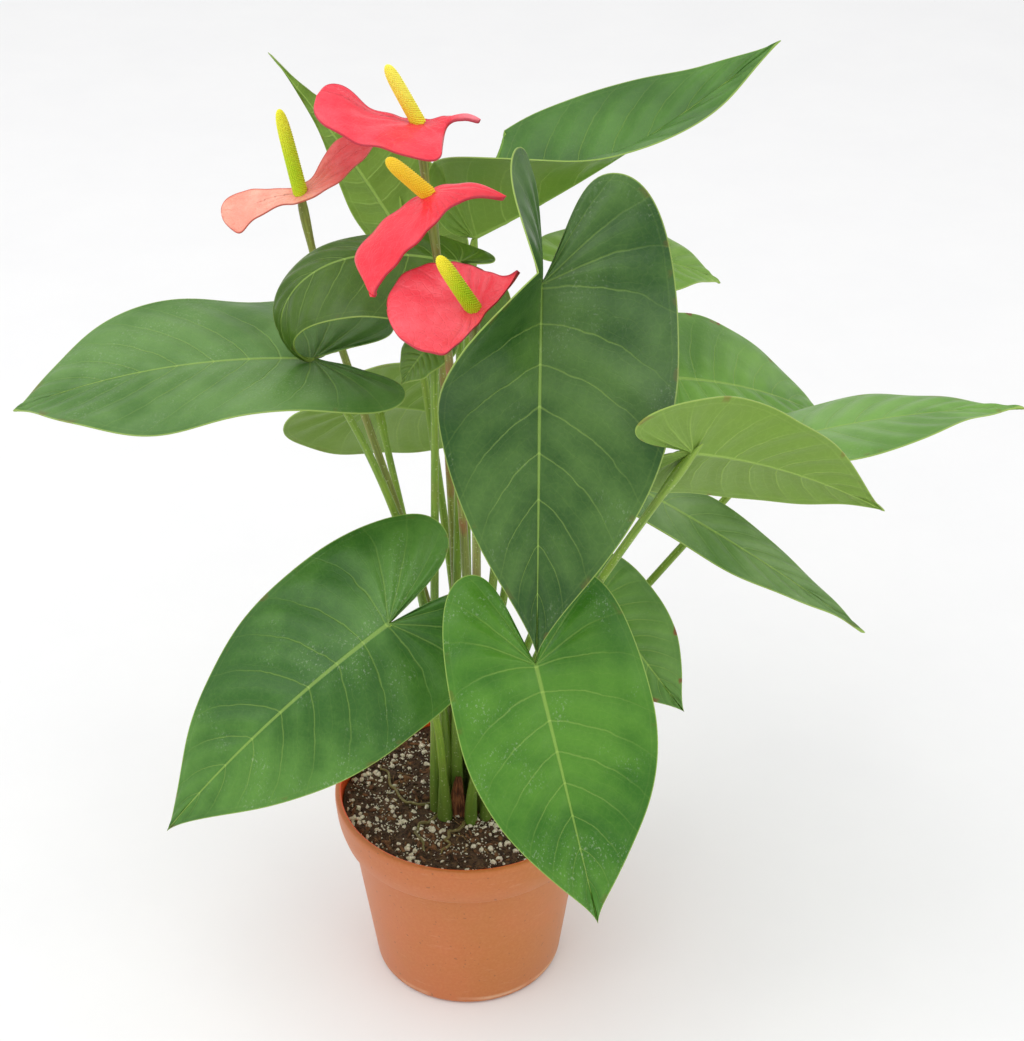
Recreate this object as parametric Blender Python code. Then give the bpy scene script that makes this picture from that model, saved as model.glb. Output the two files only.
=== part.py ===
"""Potted anthurium: a flowering houseplant in a round plastic nursery pot.

Units are metres and +Z is up. The origin is the middle of the pot's flat underside.
The plant stands in the pot: crown stems and roots at soil level, a stalk for every leaf and
flower, a thin blade on each leaf stalk, and a spathe with a spadix on each flower stalk.
"""

import math
from dataclasses import dataclass

import bmesh
import bpy
import numpy as np
from mathutils import Vector

# ---------------------------------------------------------------- driving dimensions
CLEARANCE = 0.0003  # gap kept between pieces that touch

POT_HEIGHT = 0.096
RIM_RADIUS = 0.060  # outer radius of the rim's lip
LIP = 0.0030  # rounding at the top of the rim
COLLAR_DEPTH = 0.0210  # height of the wider band under the rim
COLLAR_TAPER = 0.0033  # how much narrower the band is at its foot than at the rim
COLLAR_STEP = 0.0035  # how far the band's foot stands out past the wall under it
BASE_RADIUS = 0.0433
WALL = 0.0018
FLOOR = 0.0022
BASE_ROUND = 0.0030  # rounding where the wall meets the underside
POT_SEGMENTS = 44

DRAIN_COUNT = 6
DRAIN_RADIUS = 0.0042
DRAIN_CIRCLE = 0.0290  # radius of the circle the drain holes stand on

SOIL_DROP = 0.0090  # soil level below the top of the rim
SOIL_FLAT_RADIUS = 0.022  # the soil is level this far out, around the crown
SOIL_UNEVEN = 0.0016  # height of the lumps towards the wall
SOIL_SEGMENTS = 32

STALK_RADIUS = 0.0020
STALK_SIDES = 7
STALK_STEPS = 11
FOOT_SWELL = 1.05  # radius of a stalk's foot, as a share of its radius

CROWN_STEMS = 3
CROWN_STEM_HEIGHT = 0.017
FIRST_CROWN_BEARING = 210.0  # compass angle of the first crown stem, in degrees

SHEATH_BEARINGS = (92.0, 168.0, 255.0)  # gaps between the outer stalks, in degrees from +X
SHEATH_HALF_ANGLE = 17.0
SHEATH_HEIGHT = 0.024
SHEATH_THICKNESS = 0.0008
SHEATH_GAP = 0.0009  # clear width between the crown stems and the sheaths
SHEATH_COLUMNS = 6
SHEATH_ROWS = 5

BLADE_THICKNESS = 0.0008
BLADE_RAYS = 10  # rays from the midrib to the edge of each half
BLADE_ROWS = 3
SPATHE_THICKNESS = 0.0009
SPADIX_RADIUS = 0.0030
SPATHE_STEPS = 2  # rows of faces from rib to rib
SPATHE_COLUMNS = 6
SPADIX_STEPS = 8
SPADIX_SIDES = 10

ROOT_RADIUS = 0.0011
ROOT_LIFT = 0.0006  # clear height of a root above the mean soil under it
ROOT_STEPS = 9

# ---------------------------------------------------------------- colours
LEAF_GREEN = (0.045, 0.16, 0.030)
STALK_GREEN = (0.16, 0.27, 0.045)
STALK_BROWN = (0.26, 0.20, 0.07)
SPATHE_RED = (0.68, 0.06, 0.09)
SPADIX_YELLOW = (0.85, 0.58, 0.05)
SHEATH_BROWN = (0.30, 0.17, 0.08)
ROOT_TAN = (0.42, 0.30, 0.17)
SOIL_BROWN = (0.055, 0.035, 0.025)
POT_ORANGE = (0.55, 0.21, 0.09)


def soil_level():
    """Height of the flat soil around the crown."""
    return POT_HEIGHT - SOIL_DROP


def ring_of_three(radius):
    """Radius of the circle on which three round things of this radius stand just clear of each other."""
    return (2 * radius + 2 * CLEARANCE) / math.sqrt(3)


def stem_top_circle():
    """Radius of the circle the stalks on one crown stem stand on."""
    return ring_of_three(FOOT_SWELL * STALK_RADIUS)


def crown_stem_radius():
    """A crown stem is as wide as the stalks it carries."""
    return stem_top_circle() + 1.2 * STALK_RADIUS


def crown_circle():
    """Radius of the circle the crown stems stand on."""
    return ring_of_three(crown_stem_radius())


def sheath_circle():
    """Inner radius of the sheaths, round the crown stems."""
    return crown_circle() + crown_stem_radius() + SHEATH_GAP


def outer_ring():
    """Radius of the circle the outer stalks stand on, outside the sheaths."""
    return sheath_circle() + SHEATH_THICKNESS + CLEARANCE + FOOT_SWELL * STALK_RADIUS


# ---------------------------------------------------------------- plant data
@dataclass(frozen=True)
class Form:
    """Outline of a half: shares of the midrib's length and of the half's width."""

    widest: float  # where the half is widest
    belly: float  # how far towards the tip the fullness carries
    drip: float  # where the point begins
    drip_width: float  # width kept there


LEAF_FORM = Form(0.20, 0.62, 0.84, 0.10)
FULL_FORM = Form(0.32, 0.80, 0.88, 0.16)
SLENDER_FORM = Form(0.16, 0.40, 0.55, 0.05)


@dataclass(frozen=True)
class Blade:
    """A heart-shaped blade. Angles are in degrees, lengths in metres.

    base is where the stalk meets the blade, tip is the drip tip, and face points the way its
    upper side looks. Pairs hold the left and the right half, seen from above with the tip away.
    """

    base: tuple
    tip: tuple
    face: tuple
    width: tuple
    lobe: tuple  # how far each half reaches behind the base; below zero, it starts ahead of it
    form: Form = LEAF_FORM
    sinus: float = 0.06  # openness of the notch, as a share of the half's width
    bow: float = 30.0  # turn of the midrib from base to tip
    hook: float = 1.0  # above one, the turn comes late
    fold: tuple = (8.0, 8.0)  # rise of each half from the midrib at the base
    fold_tip: tuple = (8.0, 8.0)  # the same at the tip
    curl: tuple = (-12.0, -12.0)  # further turn from midrib to edge
    lift: tuple = (0.0, 0.0)  # rise of the lobes behind the base
    lobe_fold: tuple = (0.0, 0.0)  # further fold beside the base
    twist: float = 0.0
    wave: float = 0.0015
    phase: float = 0.0


@dataclass(frozen=True)
class Stalk:
    """How a stalk rises: from the top of a crown stem, or from the soil where stem is None.

    bearing is the compass angle of its foot, in degrees from +X, about the stem or the crown.
    rise and reach are the shares of its span that its curve spends going up and arriving, and
    arrive is its direction where it meets the blade.
    """

    bearing: float
    arrive: tuple
    stem: int | None = None
    rise: float = 0.35
    reach: float = 0.30
    radius: float = STALK_RADIUS


@dataclass(frozen=True)
class Spathe:
    """A waxy bract: a bent sheet drawn over ribs that cross it.

    Each rib holds its middle in millimetres, its half width in millimetres, and in degrees the
    compass turn of its near end from -Y and the drop of that end. base is where the stalk and the
    spadix meet: a rib number, and the share of the half width towards the near end.
    """

    ribs: tuple
    base: tuple
    arch: float = 0.0  # rise of a rib's middle above its ends


LEAVES = {
    "low_left": (
        Blade(base=(-0.029, -0.050, 0.222), tip=(-0.122, -0.080, 0.138), face=(-0.20, -0.60, 0.75),
              width=(0.042, 0.046), lobe=(0.040, 0.042), bow=35, fold=(-22, 2), fold_tip=(-15, 0)),
        Stalk(bearing=232, arrive=(-0.4, -0.3, 0.85)),
    ),
    "low_front": (
        Blade(base=(0.030, -0.087, 0.229), tip=(0.055, -0.126, 0.130), face=(0.05, -0.85, 0.45),
              width=(0.041, 0.036), lobe=(0.033, 0.040), sinus=0.14, bow=25, fold=(6, 10)),
        Stalk(bearing=278, arrive=(0.1, -0.5, 0.85)),
    ),
    "tall_front": (
        Blade(base=(0.031, -0.062, 0.380), tip=(0.030, -0.110, 0.250), face=(0.0, -0.80, 0.35),
              width=(0.050, 0.038), lobe=(0.040, 0.046), sinus=0.20, bow=25, fold=(4, 12),
              fold_tip=(6, 4), curl=(14, -8), lobe_fold=(-6, 80)),
        Stalk(stem=1, bearing=30, arrive=(0.1, -0.5, 0.85)),
    ),
    "right_under": (
        Blade(base=(0.086, -0.092, 0.328), tip=(0.162, -0.070, 0.289), face=(0.10, 0.90, 0.40),
              width=(0.034, 0.026), lobe=(0.014, 0.032), bow=24, fold=(10, 0), lobe_fold=(0, 12),
              curl=(-12, 20)),
        Stalk(bearing=304, arrive=(0.38, -0.28, 0.85), rise=0.17, reach=0.37),
    ),
    "right_far": (
        Blade(base=(0.131, 0.015, 0.269), tip=(0.236, 0.025, 0.279), face=(0.0, 0.20, 0.97),
              width=(0.030, 0.034), lobe=(0.024, 0.028), bow=16, fold=(6, 0)),
        Stalk(bearing=10, arrive=(0.55, 0.05, 0.83), rise=0.18, reach=0.2),
    ),
    "right_mid": (
        Blade(base=(0.093, 0.062, 0.273), tip=(0.168, 0.108, 0.225), face=(0.05, -0.35, 0.90),
              width=(0.040, 0.024), lobe=(0.042, 0.016), bow=25, lift=(30, 0), fold=(8, -12)),
        Stalk(bearing=33, arrive=(0.5, 0.1, 0.85)),
    ),
    "right_back": (
        Blade(base=(0.054, 0.060, 0.330), tip=(0.110, 0.070, 0.315), face=(0.1, -0.2, 0.97),
              width=(0.026, 0.024), lobe=(0.022, 0.022), bow=45),
        Stalk(bearing=56, arrive=(0.3, 0.4, 0.85)),
    ),
    "right_low": (
        Blade(base=(0.074, -0.004, 0.257), tip=(0.168, -0.030, 0.203), face=(0.45, -0.30, 0.85),
              width=(0.016, 0.018), lobe=(0.022, 0.020), bow=10, fold=(4, 8), fold_tip=(10, 14)),
        Stalk(bearing=350, arrive=(0.5, 0.0, 0.85)),
    ),
    "low_right": (
        Blade(base=(0.057, -0.018, 0.212), tip=(0.095, -0.026, 0.158), face=(0.15, -0.95, 0.2),
              width=(0.021, 0.022), lobe=(0.016, 0.018), bow=15),
        Stalk(bearing=328, arrive=(0.4, -0.2, 0.85)),
    ),
    "top_right": (
        Blade(base=(0.005, 0.062, 0.340), tip=(0.129, 0.075, 0.421), face=(-0.3, -0.02, 0.95),
              width=(0.042, 0.042), lobe=(-0.030, 0.010), bow=-14, fold=(40, 100), fold_tip=(28, -15)),
        Stalk(stem=2, bearing=330, arrive=(0.1, 0.2, 0.95)),
    ),
    "top_left": (
        Blade(base=(-0.025, 0.088, 0.326), tip=(-0.082, 0.110, 0.403), face=(0.1, 0.95, 0.2),
              width=(0.031, 0.016), lobe=(0.022, 0.020), form=SLENDER_FORM, bow=20),
        Stalk(stem=2, bearing=90, arrive=(-0.1, 0.3, 0.95)),
    ),
    "left_wide": (
        Blade(base=(-0.059, 0.0, 0.316), tip=(-0.179, -0.010, 0.298), face=(0.0, -0.15, 0.99),
              width=(0.041, 0.043), lobe=(0.036, 0.034), form=FULL_FORM, sinus=0.20, bow=30,
              wave=0.004, phase=2.0),
        Stalk(stem=0, bearing=180, arrive=(-0.5, 0.0, 0.85)),
    ),
    "left_curled": (
        Blade(base=(0.000, 0.018, 0.350), tip=(-0.058, -0.002, 0.317), face=(-0.5, -0.15, 0.85),
              width=(0.036, 0.020), lobe=(0.020, 0.018), bow=185, hook=2.4, fold=(-26, 10),
              fold_tip=(-10, 8)),
        Stalk(stem=0, bearing=300, arrive=(0.0, 0.2, 1.0)),
    ),
    "back_pale": (
        Blade(base=(-0.040, 0.086, 0.246), tip=(0.025, 0.106, 0.218), face=(0.1, 0.9, 0.35),
              width=(0.046, 0.032), lobe=(0.036, 0.026), bow=20),
        Stalk(bearing=125, arrive=(-0.2, 0.5, 0.8)),
    ),
    "back_small": (
        Blade(base=(-0.010, -0.008, 0.328), tip=(-0.023, -0.014, 0.312), face=(0.0, -0.3, 0.9),
              width=(0.011, 0.011), lobe=(0.009, 0.009), bow=25),
        Stalk(bearing=207, arrive=(0.0, 0.1, 1.0)),
    ),
}

# Ribs run from the left end of a spathe to its right end.
FLOWERS = {
    "left": (
        Spathe(base=(4.0, -0.35), arch=-0.0006,
               ribs=((-99, 55, 354, 8, 12, 23), (-91, 55, 355, 11, 3, 24), (-83, 55, 359, 8, -2, 22),
                     (-73, 54, 362, 5, -4, 19), (-66, 53, 364, 6, 4, 11), (-59, 55, 367, 6, 18, 13),
                     (-52, 58, 374, 8, 27, 26), (-44, 62, 380, 8, 29, 19), (-36, 66, 382, 5, 27, 13))),
        Stalk(stem=0, bearing=60, arrive=(-0.1, 0.0, 1.0)),
        (-0.072, 0.050, 0.402),
    ),
    "top": (
        Spathe(base=(4.0, -0.75), arch=0.0012,
               ribs=((-56, 41, 410, 11, -15, 22), (-48, 39, 407, 13, -12, 16), (-38, 36, 401, 14, -8, 7),
                     (-26, 35, 398, 15, -5, 3), (-16, 34, 396, 16, 1, 8), (-8, 35, 396, 14, 5, 10),
                     (-4, 44, 399, 3, -10, 20), (2, 46, 400, 2, -7, 16), (8, 46, 398, 2, -7, 16))),
        Stalk(stem=2, bearing=210, arrive=(-0.1, 0.1, 1.0)),
        (-0.028, 0.040, 0.424),
    ),
    "middle": (
        Spathe(base=(3.0, -0.70), arch=0.0014,
               ribs=((18, -30, 399, 2, 5, 24), (9, -32, 403, 4, 1, 12), (0, -35, 403, 7, 4, 8),
                     (-8, -40, 401, 11, 11, 6), (-15, -43, 396, 12, 18, 5), (-22, -46, 391, 12, 21, 5),
                     (-28, -49, 385, 12, 25, 4), (-32, -52, 380, 10, 28, 6), (-29, -59, 374, 3, 28, 16))),
        Stalk(stem=1, bearing=150, arrive=(-0.1, -0.1, 1.0)),
        (-0.024, -0.040, 0.419),
    ),
    "front": (
        Spathe(base=(4.85, 0.25), arch=-0.0010,
               ribs=((-24, -68, 374, 10, 2, 14), (-18, -70, 375, 17, 2, 17), (-10, -70, 375, 21, 2, 20),
                     (-3, -70, 375, 22, 1, 20), (2, -68, 376, 20, 0, 19), (8, -66, 377, 15, -1, 18),
                     (13, -66, 379, 10, -5, 16), (19, -65, 382, 4, -6, 16), (23, -63, 386, 1, -2, 22))),
        Stalk(stem=1, bearing=270, arrive=(0.0, -0.3, 1.0)),
        (-0.005, -0.076, 0.398),
    ),
}

# Each root lies on the soil: how far from the middle it ends, and its start and end bearing.
ROOTS = (
    (0.0480, 192.0, 146.0),
    (0.0400, 218.0, 240.0),
    (0.0380, 262.0, 248.0),
)


# ---------------------------------------------------------------- helpers
def unit(vector):
    """The vector at length one."""
    vector = np.asarray(vector, float)
    return vector / np.linalg.norm(vector)


def turn(vector, axis, angle):
    """The vector turned about a unit axis by an angle in radians."""
    cosine, sine = math.cos(angle), math.sin(angle)
    return vector * cosine + np.cross(axis, vector) * sine + axis * (axis @ vector) * (1 - cosine)


def bezier(points, t):
    """A point on the cubic Bezier curve through the first and last of four points."""
    a, b, c, d = (np.asarray(p, float) for p in points)
    s = 1 - t
    return a * s**3 + 3 * b * s * s * t + 3 * c * s * t * t + d * t**3


def finish(name, mesh_data, color, roughness, smooth_angle=50.0):
    """Turn a bmesh into a named object with its own material, smooth except at sharp edges."""
    bmesh.ops.recalc_face_normals(mesh_data, faces=mesh_data.faces)
    mesh = bpy.data.meshes.new(name)
    mesh_data.to_mesh(mesh)
    mesh_data.free()
    mesh.shade_smooth()
    mesh.set_sharp_from_angle(angle=math.radians(smooth_angle))
    obj = bpy.data.objects.new(name, mesh)
    bpy.context.scene.collection.objects.link(obj)
    material = bpy.data.materials.new(name)
    material.use_nodes = True
    shader = material.node_tree.nodes["Principled BSDF"]
    shader.inputs["Base Color"].default_value = (*color, 1.0)
    shader.inputs["Roughness"].default_value = roughness
    shader.inputs["Metallic"].default_value = 0.0
    mesh.materials.append(material)
    return obj


# ---------------------------------------------------------------- blades
SEAM = 0.40  # share of the outline that its rays reach from the base itself


def outline_point(t, length, width, lobe, form, sinus):
    """A point on one half's edge: along the midrib and out from it, from the notch to the tip."""
    widest = form.widest * length
    if t < 0.22:
        curve = ((0, 0), (-0.45 * lobe, sinus * width), (-lobe, (sinus + 0.04) * width),
                 (-lobe, (0.42 + sinus / 2) * width))
        local = t / 0.22
    elif t < 0.5:
        curve = ((-lobe, (0.42 + sinus / 2) * width), (-lobe, 0.84 * width),
                 (widest - 0.62 * (lobe + widest), width), (widest, width))
        local = (t - 0.22) / 0.28
    else:
        curve = ((widest, width), (form.belly * length, width),
                 (form.drip * length, form.drip_width * width), (length, 0))
        local = (t - 0.5) / 0.5
    return bezier(curve, local)


def seam_point(t, length):
    """Where the ray to the edge at t leaves the midrib."""
    share = max(0.0, (t - SEAM) / (1 - SEAM))
    return np.array([length * share**1.15, 0.0])


def flat_half(blade, which, length, rays, rows):
    """One half as rays[row] of flat points, from the midrib out to the edge."""
    grid = []
    for i in range(rays + 1):
        t = i / rays
        start = seam_point(t, length)
        end = outline_point(t, length, blade.width[which], blade.lobe[which], blade.form, blade.sinus)
        middle = (start + end) / 2 + np.array([0.10 * (start[0] - end[0]), 0.06 * (end[1] - start[1])])
        grid.append([
            start * (1 - s) ** 2 + 2 * middle * s * (1 - s) + end * s * s
            for s in (row / rows for row in range(rows + 1))
        ])
    return grid


MIDRIB_STEPS = 48
LOBE_SHARE = 0.34  # how far from the base the fold of the lobes dies away, as a share of length
LOBE_EASE = 0.30  # how much of that fold is gone at the back of a lobe


def midrib_arc(bow, hook):
    """Points and headings of an arc of length one that turns by bow, later for a larger hook."""
    shares = (np.arange(MIDRIB_STEPS) + 0.5) / MIDRIB_STEPS
    headings = -bow * shares**hook
    forward = np.concatenate([[0], np.cumsum(np.cos(headings))]) / MIDRIB_STEPS
    upward = np.concatenate([[0], np.cumsum(np.sin(headings))]) / MIDRIB_STEPS
    return forward, upward


def blade_surface(blade):
    """The function from a flat point to its place in space, the midrib's length and the face."""
    base, tip = np.array(blade.base), np.array(blade.tip)
    chord = tip - base
    span = np.linalg.norm(chord)
    direction = chord / span
    normal = unit(np.array(blade.face) - (np.array(blade.face) @ direction) * direction)
    side = np.cross(direction, normal)
    bow = math.radians(blade.bow)
    forward, upward = midrib_arc(bow, blade.hook)
    length = span / math.hypot(forward[-1], upward[-1])
    start_tangent = turn(direction, side, -math.atan2(upward[-1], forward[-1]))
    start_up = np.cross(side, start_tangent)
    stations = np.linspace(0, 1, MIDRIB_STEPS + 1)

    def place(along, out, hand):
        """hand is -1 on the left half and +1 on the right half."""
        share = along / length
        which = 0 if hand < 0 else 1
        ahead = min(1.0, max(0.0, share))
        if along >= 0:
            spot = base + length * (
                start_tangent * np.interp(share, stations, forward)
                + start_up * np.interp(share, stations, upward))
            tangent = turn(start_tangent, side, -bow * ahead**blade.hook)
        else:
            lift = math.radians(blade.lift[which]) * -along / blade.lobe[which]
            spot = base + turn(start_tangent, side, -lift * 0.5) * along
            tangent = turn(start_tangent, side, -lift)
        across = turn(side, tangent, math.radians(blade.twist) * ahead)
        up = np.cross(across, tangent)
        late = ahead**0.7
        behind = min(1.0, max(0.0, 1 - share / LOBE_SHARE)) - LOBE_EASE * max(0.0, -along) / blade.lobe[which]
        fold = math.radians(blade.fold[which] * (1 - late) + blade.fold_tip[which] * late
                            + blade.lobe_fold[which] * behind)
        width = blade.width[which]
        curl = math.radians(blade.curl[which]) / width
        if abs(curl * out) > 1e-6:
            flat = (math.sin(fold + curl * out) - math.sin(fold)) / curl
            high = (math.cos(fold) - math.cos(fold + curl * out)) / curl
        else:
            flat, high = out * math.cos(fold), out * math.sin(fold)
        ripple = blade.wave * (out / width) ** 2 * math.sin(7.5 * share + blade.phase + 1.3 * hand)
        return spot + across * hand * flat + up * (high + ripple)

    return place, length, start_up


def blade_mesh(blade, rays=BLADE_RAYS, rows=BLADE_ROWS):
    """A closed sheet of even thickness over both halves of the blade."""
    place, length, normal = blade_surface(blade)
    points, lookup, faces, rim = [], {}, [], []

    def index(along, out, hand):
        key = (round(along, 7), round(out, 7), 0 if out < 1e-7 else hand)
        if key not in lookup:
            lookup[key] = len(points)
            points.append(place(along, out, hand))
        return lookup[key]

    for which, hand in enumerate((-1, 1)):
        grid = flat_half(blade, which, length, rays, rows)
        ids = [[index(p[0], max(0.0, p[1]), hand) for p in ray] for ray in grid]
        for i in range(rays):
            for j in range(rows):
                corners = [ids[i][j], ids[i][j + 1], ids[i + 1][j + 1], ids[i + 1][j]]
                face = [c for k, c in enumerate(corners) if c != corners[k - 1]]
                if len(set(face)) > 2:
                    faces.append(face if hand < 0 else face[::-1])
        edge = [ids[i][rows] for i in range(rays + 1)]
        rim.append(edge if hand < 0 else edge[::-1])
    points = np.array(points)
    normals = np.zeros_like(points)
    for face in faces:
        a, b, c = points[face[0]], points[face[1]], points[face[-1]]
        flat = np.cross(b - a, c - a)
        for corner in face:
            normals[corner] += flat
    normals /= np.linalg.norm(normals, axis=1)[:, None]
    if (normals.mean(axis=0) @ normal) < 0:
        normals = -normals
    mesh_data = bmesh.new()
    top = [mesh_data.verts.new(p) for p in points + normals * BLADE_THICKNESS / 2]
    bottom = [mesh_data.verts.new(p) for p in points - normals * BLADE_THICKNESS / 2]
    for face in faces:
        mesh_data.faces.new([top[c] for c in face])
        mesh_data.faces.new([bottom[c] for c in reversed(face)])
    for edge in rim:
        for a, b in zip(edge, edge[1:]):
            if a != b:
                mesh_data.faces.new([top[b], top[a], bottom[a], bottom[b]])
    bmesh.ops.triangulate(mesh_data, faces=mesh_data.faces)
    return mesh_data


# ---------------------------------------------------------------- spathes
def rib_at(spathe, place):
    """Middle, half width and near heading of a rib at a fractional rib number, in metres."""
    ribs = np.array(spathe.ribs, float)
    last = len(ribs) - 1
    index = min(last - 1, int(place))
    local = place - index
    a, b, c, d = (ribs[min(last, max(0, index + k))] for k in (-1, 0, 1, 2))
    rib = 0.5 * (2 * b + (c - a) * local + (2 * a - 5 * b + 4 * c - d) * local**2
                 + (3 * b - a - 3 * c + d) * local**3)
    end = min(1.0, place, last - place)
    half = rib[3] / 1000 * max(0.3, math.sqrt(max(0.0, 1 - (1 - end) ** 2)))
    yaw, drop = math.radians(rib[4]), math.radians(rib[5])
    near = np.array([math.sin(yaw) * math.cos(drop), -math.cos(yaw) * math.cos(drop), -math.sin(drop)])
    return rib[:3] / 1000, half, near


def spathe_point(spathe, place, out):
    """A point of the sheet and its upward normal, at a rib number and a share of the half width."""
    middle, half, near = rib_at(spathe, place)
    last = len(spathe.ribs) - 1
    before, after = max(0.0, place - 0.2), min(float(last), place + 0.2)
    tangent = unit(rib_at(spathe, after)[0] - rib_at(spathe, before)[0])
    normal = unit(np.cross(near, tangent))
    normal = normal if normal[2] > 0 else -normal
    return middle + near * half * out + normal * spathe.arch * (1 - out * out), normal


def spathe_mesh(spathe):
    """A closed sheet of even thickness over the ribs."""
    rows = (len(spathe.ribs) - 1) * SPATHE_STEPS
    mesh_data = bmesh.new()
    skins = ([], [])
    for row in range(rows + 1):
        for skin in skins:
            skin.append([])
        for column in range(SPATHE_COLUMNS + 1):
            spot, normal = spathe_point(spathe, row / SPATHE_STEPS, 2 * column / SPATHE_COLUMNS - 1)
            for skin, side in zip(skins, (0.5, -0.5)):
                skin[-1].append(mesh_data.verts.new(spot + normal * side * SPATHE_THICKNESS))
    top, bottom = skins
    for row in range(rows):
        for column in range(SPATHE_COLUMNS):
            for skin in skins:
                mesh_data.faces.new([skin[row][column], skin[row][column + 1],
                                     skin[row + 1][column + 1], skin[row + 1][column]])
        for column in (0, SPATHE_COLUMNS):
            mesh_data.faces.new([top[row][column], top[row + 1][column],
                                 bottom[row + 1][column], bottom[row][column]])
    for column in range(SPATHE_COLUMNS):
        for row in (0, rows):
            mesh_data.faces.new([top[row][column], top[row][column + 1],
                                 bottom[row][column + 1], bottom[row][column]])
    bmesh.ops.triangulate(mesh_data, faces=mesh_data.faces)
    return mesh_data


# ---------------------------------------------------------------- stalks, roots and spadices
def slide_to_plane(point, direction, spot, normal):
    """The point moved along a direction until it lies on the plane through spot."""
    return point + direction * ((spot - point) @ normal) / (direction @ normal)


def tube(path, radii, sides, start_plane=None, end_plane=None):
    """A closed tube of the given radius at each point of a path.

    A plane is a point and a normal: the end there is cut flush with it.
    """
    path = [np.array(p, float) for p in path]
    tangents = [unit(path[min(i + 1, len(path) - 1)] - path[max(i - 1, 0)]) for i in range(len(path))]
    helper = (1.0, 0.0, 0.0) if abs(tangents[0][0]) < 0.8 else (0.0, 1.0, 0.0)
    across = unit(np.cross(tangents[0], helper))
    rings = []
    for point, tangent, radius in zip(path, tangents, radii):
        across = unit(across - (across @ tangent) * tangent)
        other = np.cross(tangent, across)
        angles = [2 * math.pi * k / sides for k in range(sides)]
        rings.append([point + radius * (across * math.cos(a) + other * math.sin(a)) for a in angles])
    if start_plane:
        rings[0] = [slide_to_plane(p, tangents[0], *start_plane) for p in rings[0]]
    if end_plane:
        rings[-1] = [slide_to_plane(p, tangents[-1], *end_plane) for p in rings[-1]]
    mesh_data = bmesh.new()
    rings = [[mesh_data.verts.new(p) for p in ring] for ring in rings]
    for low, high in zip(rings, rings[1:]):
        for k in range(sides):
            mesh_data.faces.new([low[k], low[(k + 1) % sides], high[(k + 1) % sides], high[k]])
    mesh_data.faces.new(list(reversed(rings[0])))
    mesh_data.faces.new(rings[-1])
    return mesh_data


def crown_stem_centre(index):
    """Where a crown stem stands on the soil."""
    angle = math.radians(FIRST_CROWN_BEARING + 360.0 * index / CROWN_STEMS)
    reach = crown_circle()
    return np.array([reach * math.cos(angle), reach * math.sin(angle), soil_level()])


def stalk_foot(stalk):
    """Where a stalk starts: on the soil, or on top of its crown stem."""
    angle = math.radians(stalk.bearing)
    heading = np.array([math.cos(angle), math.sin(angle), 0.0])
    if stalk.stem is None:
        return heading * outer_ring() + np.array([0, 0, soil_level() + CLEARANCE])
    rise = np.array([0, 0, CROWN_STEM_HEIGHT + 2 * CLEARANCE])
    return crown_stem_centre(stalk.stem) + rise + heading * stem_top_circle()


def under_blade(blade, stalk):
    """The plane that a leaf stalk's end is cut to, just under the blade."""
    _, _, up = blade_surface(blade)
    droop = max(0.0, -min(blade.fold))
    gap = BLADE_THICKNESS / 2 + CLEARANCE + stalk.radius * (0.20 + math.tan(math.radians(droop)))
    return np.array(blade.base) - up * gap, up


def off_spathe(spathe, radius, side):
    """The plane clear of a spathe where a round end of this radius meets it: side is -1 under it and 1 over it."""
    spot, up = spathe_point(spathe, *spathe.base)
    return spot + up * side * (SPATHE_THICKNESS / 2 + CLEARANCE + 0.45 * radius), up


def stalk_path(stalk, end):
    """Points of a stalk from its foot to its end."""
    start = stalk_foot(stalk)
    arrive = unit(stalk.arrive)
    span = np.linalg.norm(end - start)
    curve = (start, start + np.array([0, 0, 1.0]) * span * stalk.rise, end - arrive * span * stalk.reach, end)
    return [bezier(curve, i / STALK_STEPS) for i in range(STALK_STEPS + 1)]


def stalk_radii(stalk):
    """A slightly thicker foot and a swollen knee under the blade."""
    shares = [i / STALK_STEPS for i in range(STALK_STEPS + 1)]
    return [stalk.radius * (FOOT_SWELL - 0.25 * s + 0.22 * max(0.0, (s - 0.86) / 0.14)) for s in shares]


def stalk_mesh(stalk, plane):
    """A stalk that stands level on its foot and ends flush with a plane under its blade."""
    path = stalk_path(stalk, plane[0])
    return tube(path, stalk_radii(stalk), STALK_SIDES, (path[0], np.array([0, 0, 1.0])), plane)


def spadix_mesh(spathe, top):
    """A blunt rod that stands on the spathe and ends at top."""
    start, up = off_spathe(spathe, SPADIX_RADIUS, 1)
    top = np.array(top)
    path = [start + (top - start) * i / SPADIX_STEPS for i in range(SPADIX_STEPS + 1)]
    radii = [SPADIX_RADIUS * math.sqrt(max(0.02, 1 - (i / SPADIX_STEPS) ** 6)) * (1 - 0.12 * i / SPADIX_STEPS)
             for i in range(SPADIX_STEPS + 1)]
    return tube(path, radii, SPADIX_SIDES, (start, up))


# ---------------------------------------------------------------- pot, soil and crown
def lathe(profile, segments):
    """A solid turned about Z from a profile of (radius, height) that starts and ends on the axis."""
    mesh_data = bmesh.new()
    verts = [mesh_data.verts.new((r, 0.0, z)) for r, z in profile]
    edges = [mesh_data.edges.new(pair) for pair in zip(verts, verts[1:])]
    bmesh.ops.spin(mesh_data, geom=verts + edges, axis=(0, 0, 1), cent=(0, 0, 0), steps=segments,
                   angle=2 * math.pi, use_merge=True)
    bmesh.ops.remove_doubles(mesh_data, verts=mesh_data.verts, dist=1e-6)
    return mesh_data


def collar_foot():
    """Height of the foot of the band under the rim, and its outer radius there."""
    return POT_HEIGHT - COLLAR_DEPTH, RIM_RADIUS - COLLAR_TAPER


def wall_radius(height):
    """Outer radius of the pot's tapered wall at a height below the band."""
    foot, radius = collar_foot()
    return BASE_RADIUS + (radius - COLLAR_STEP - BASE_RADIUS) * height / foot


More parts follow.
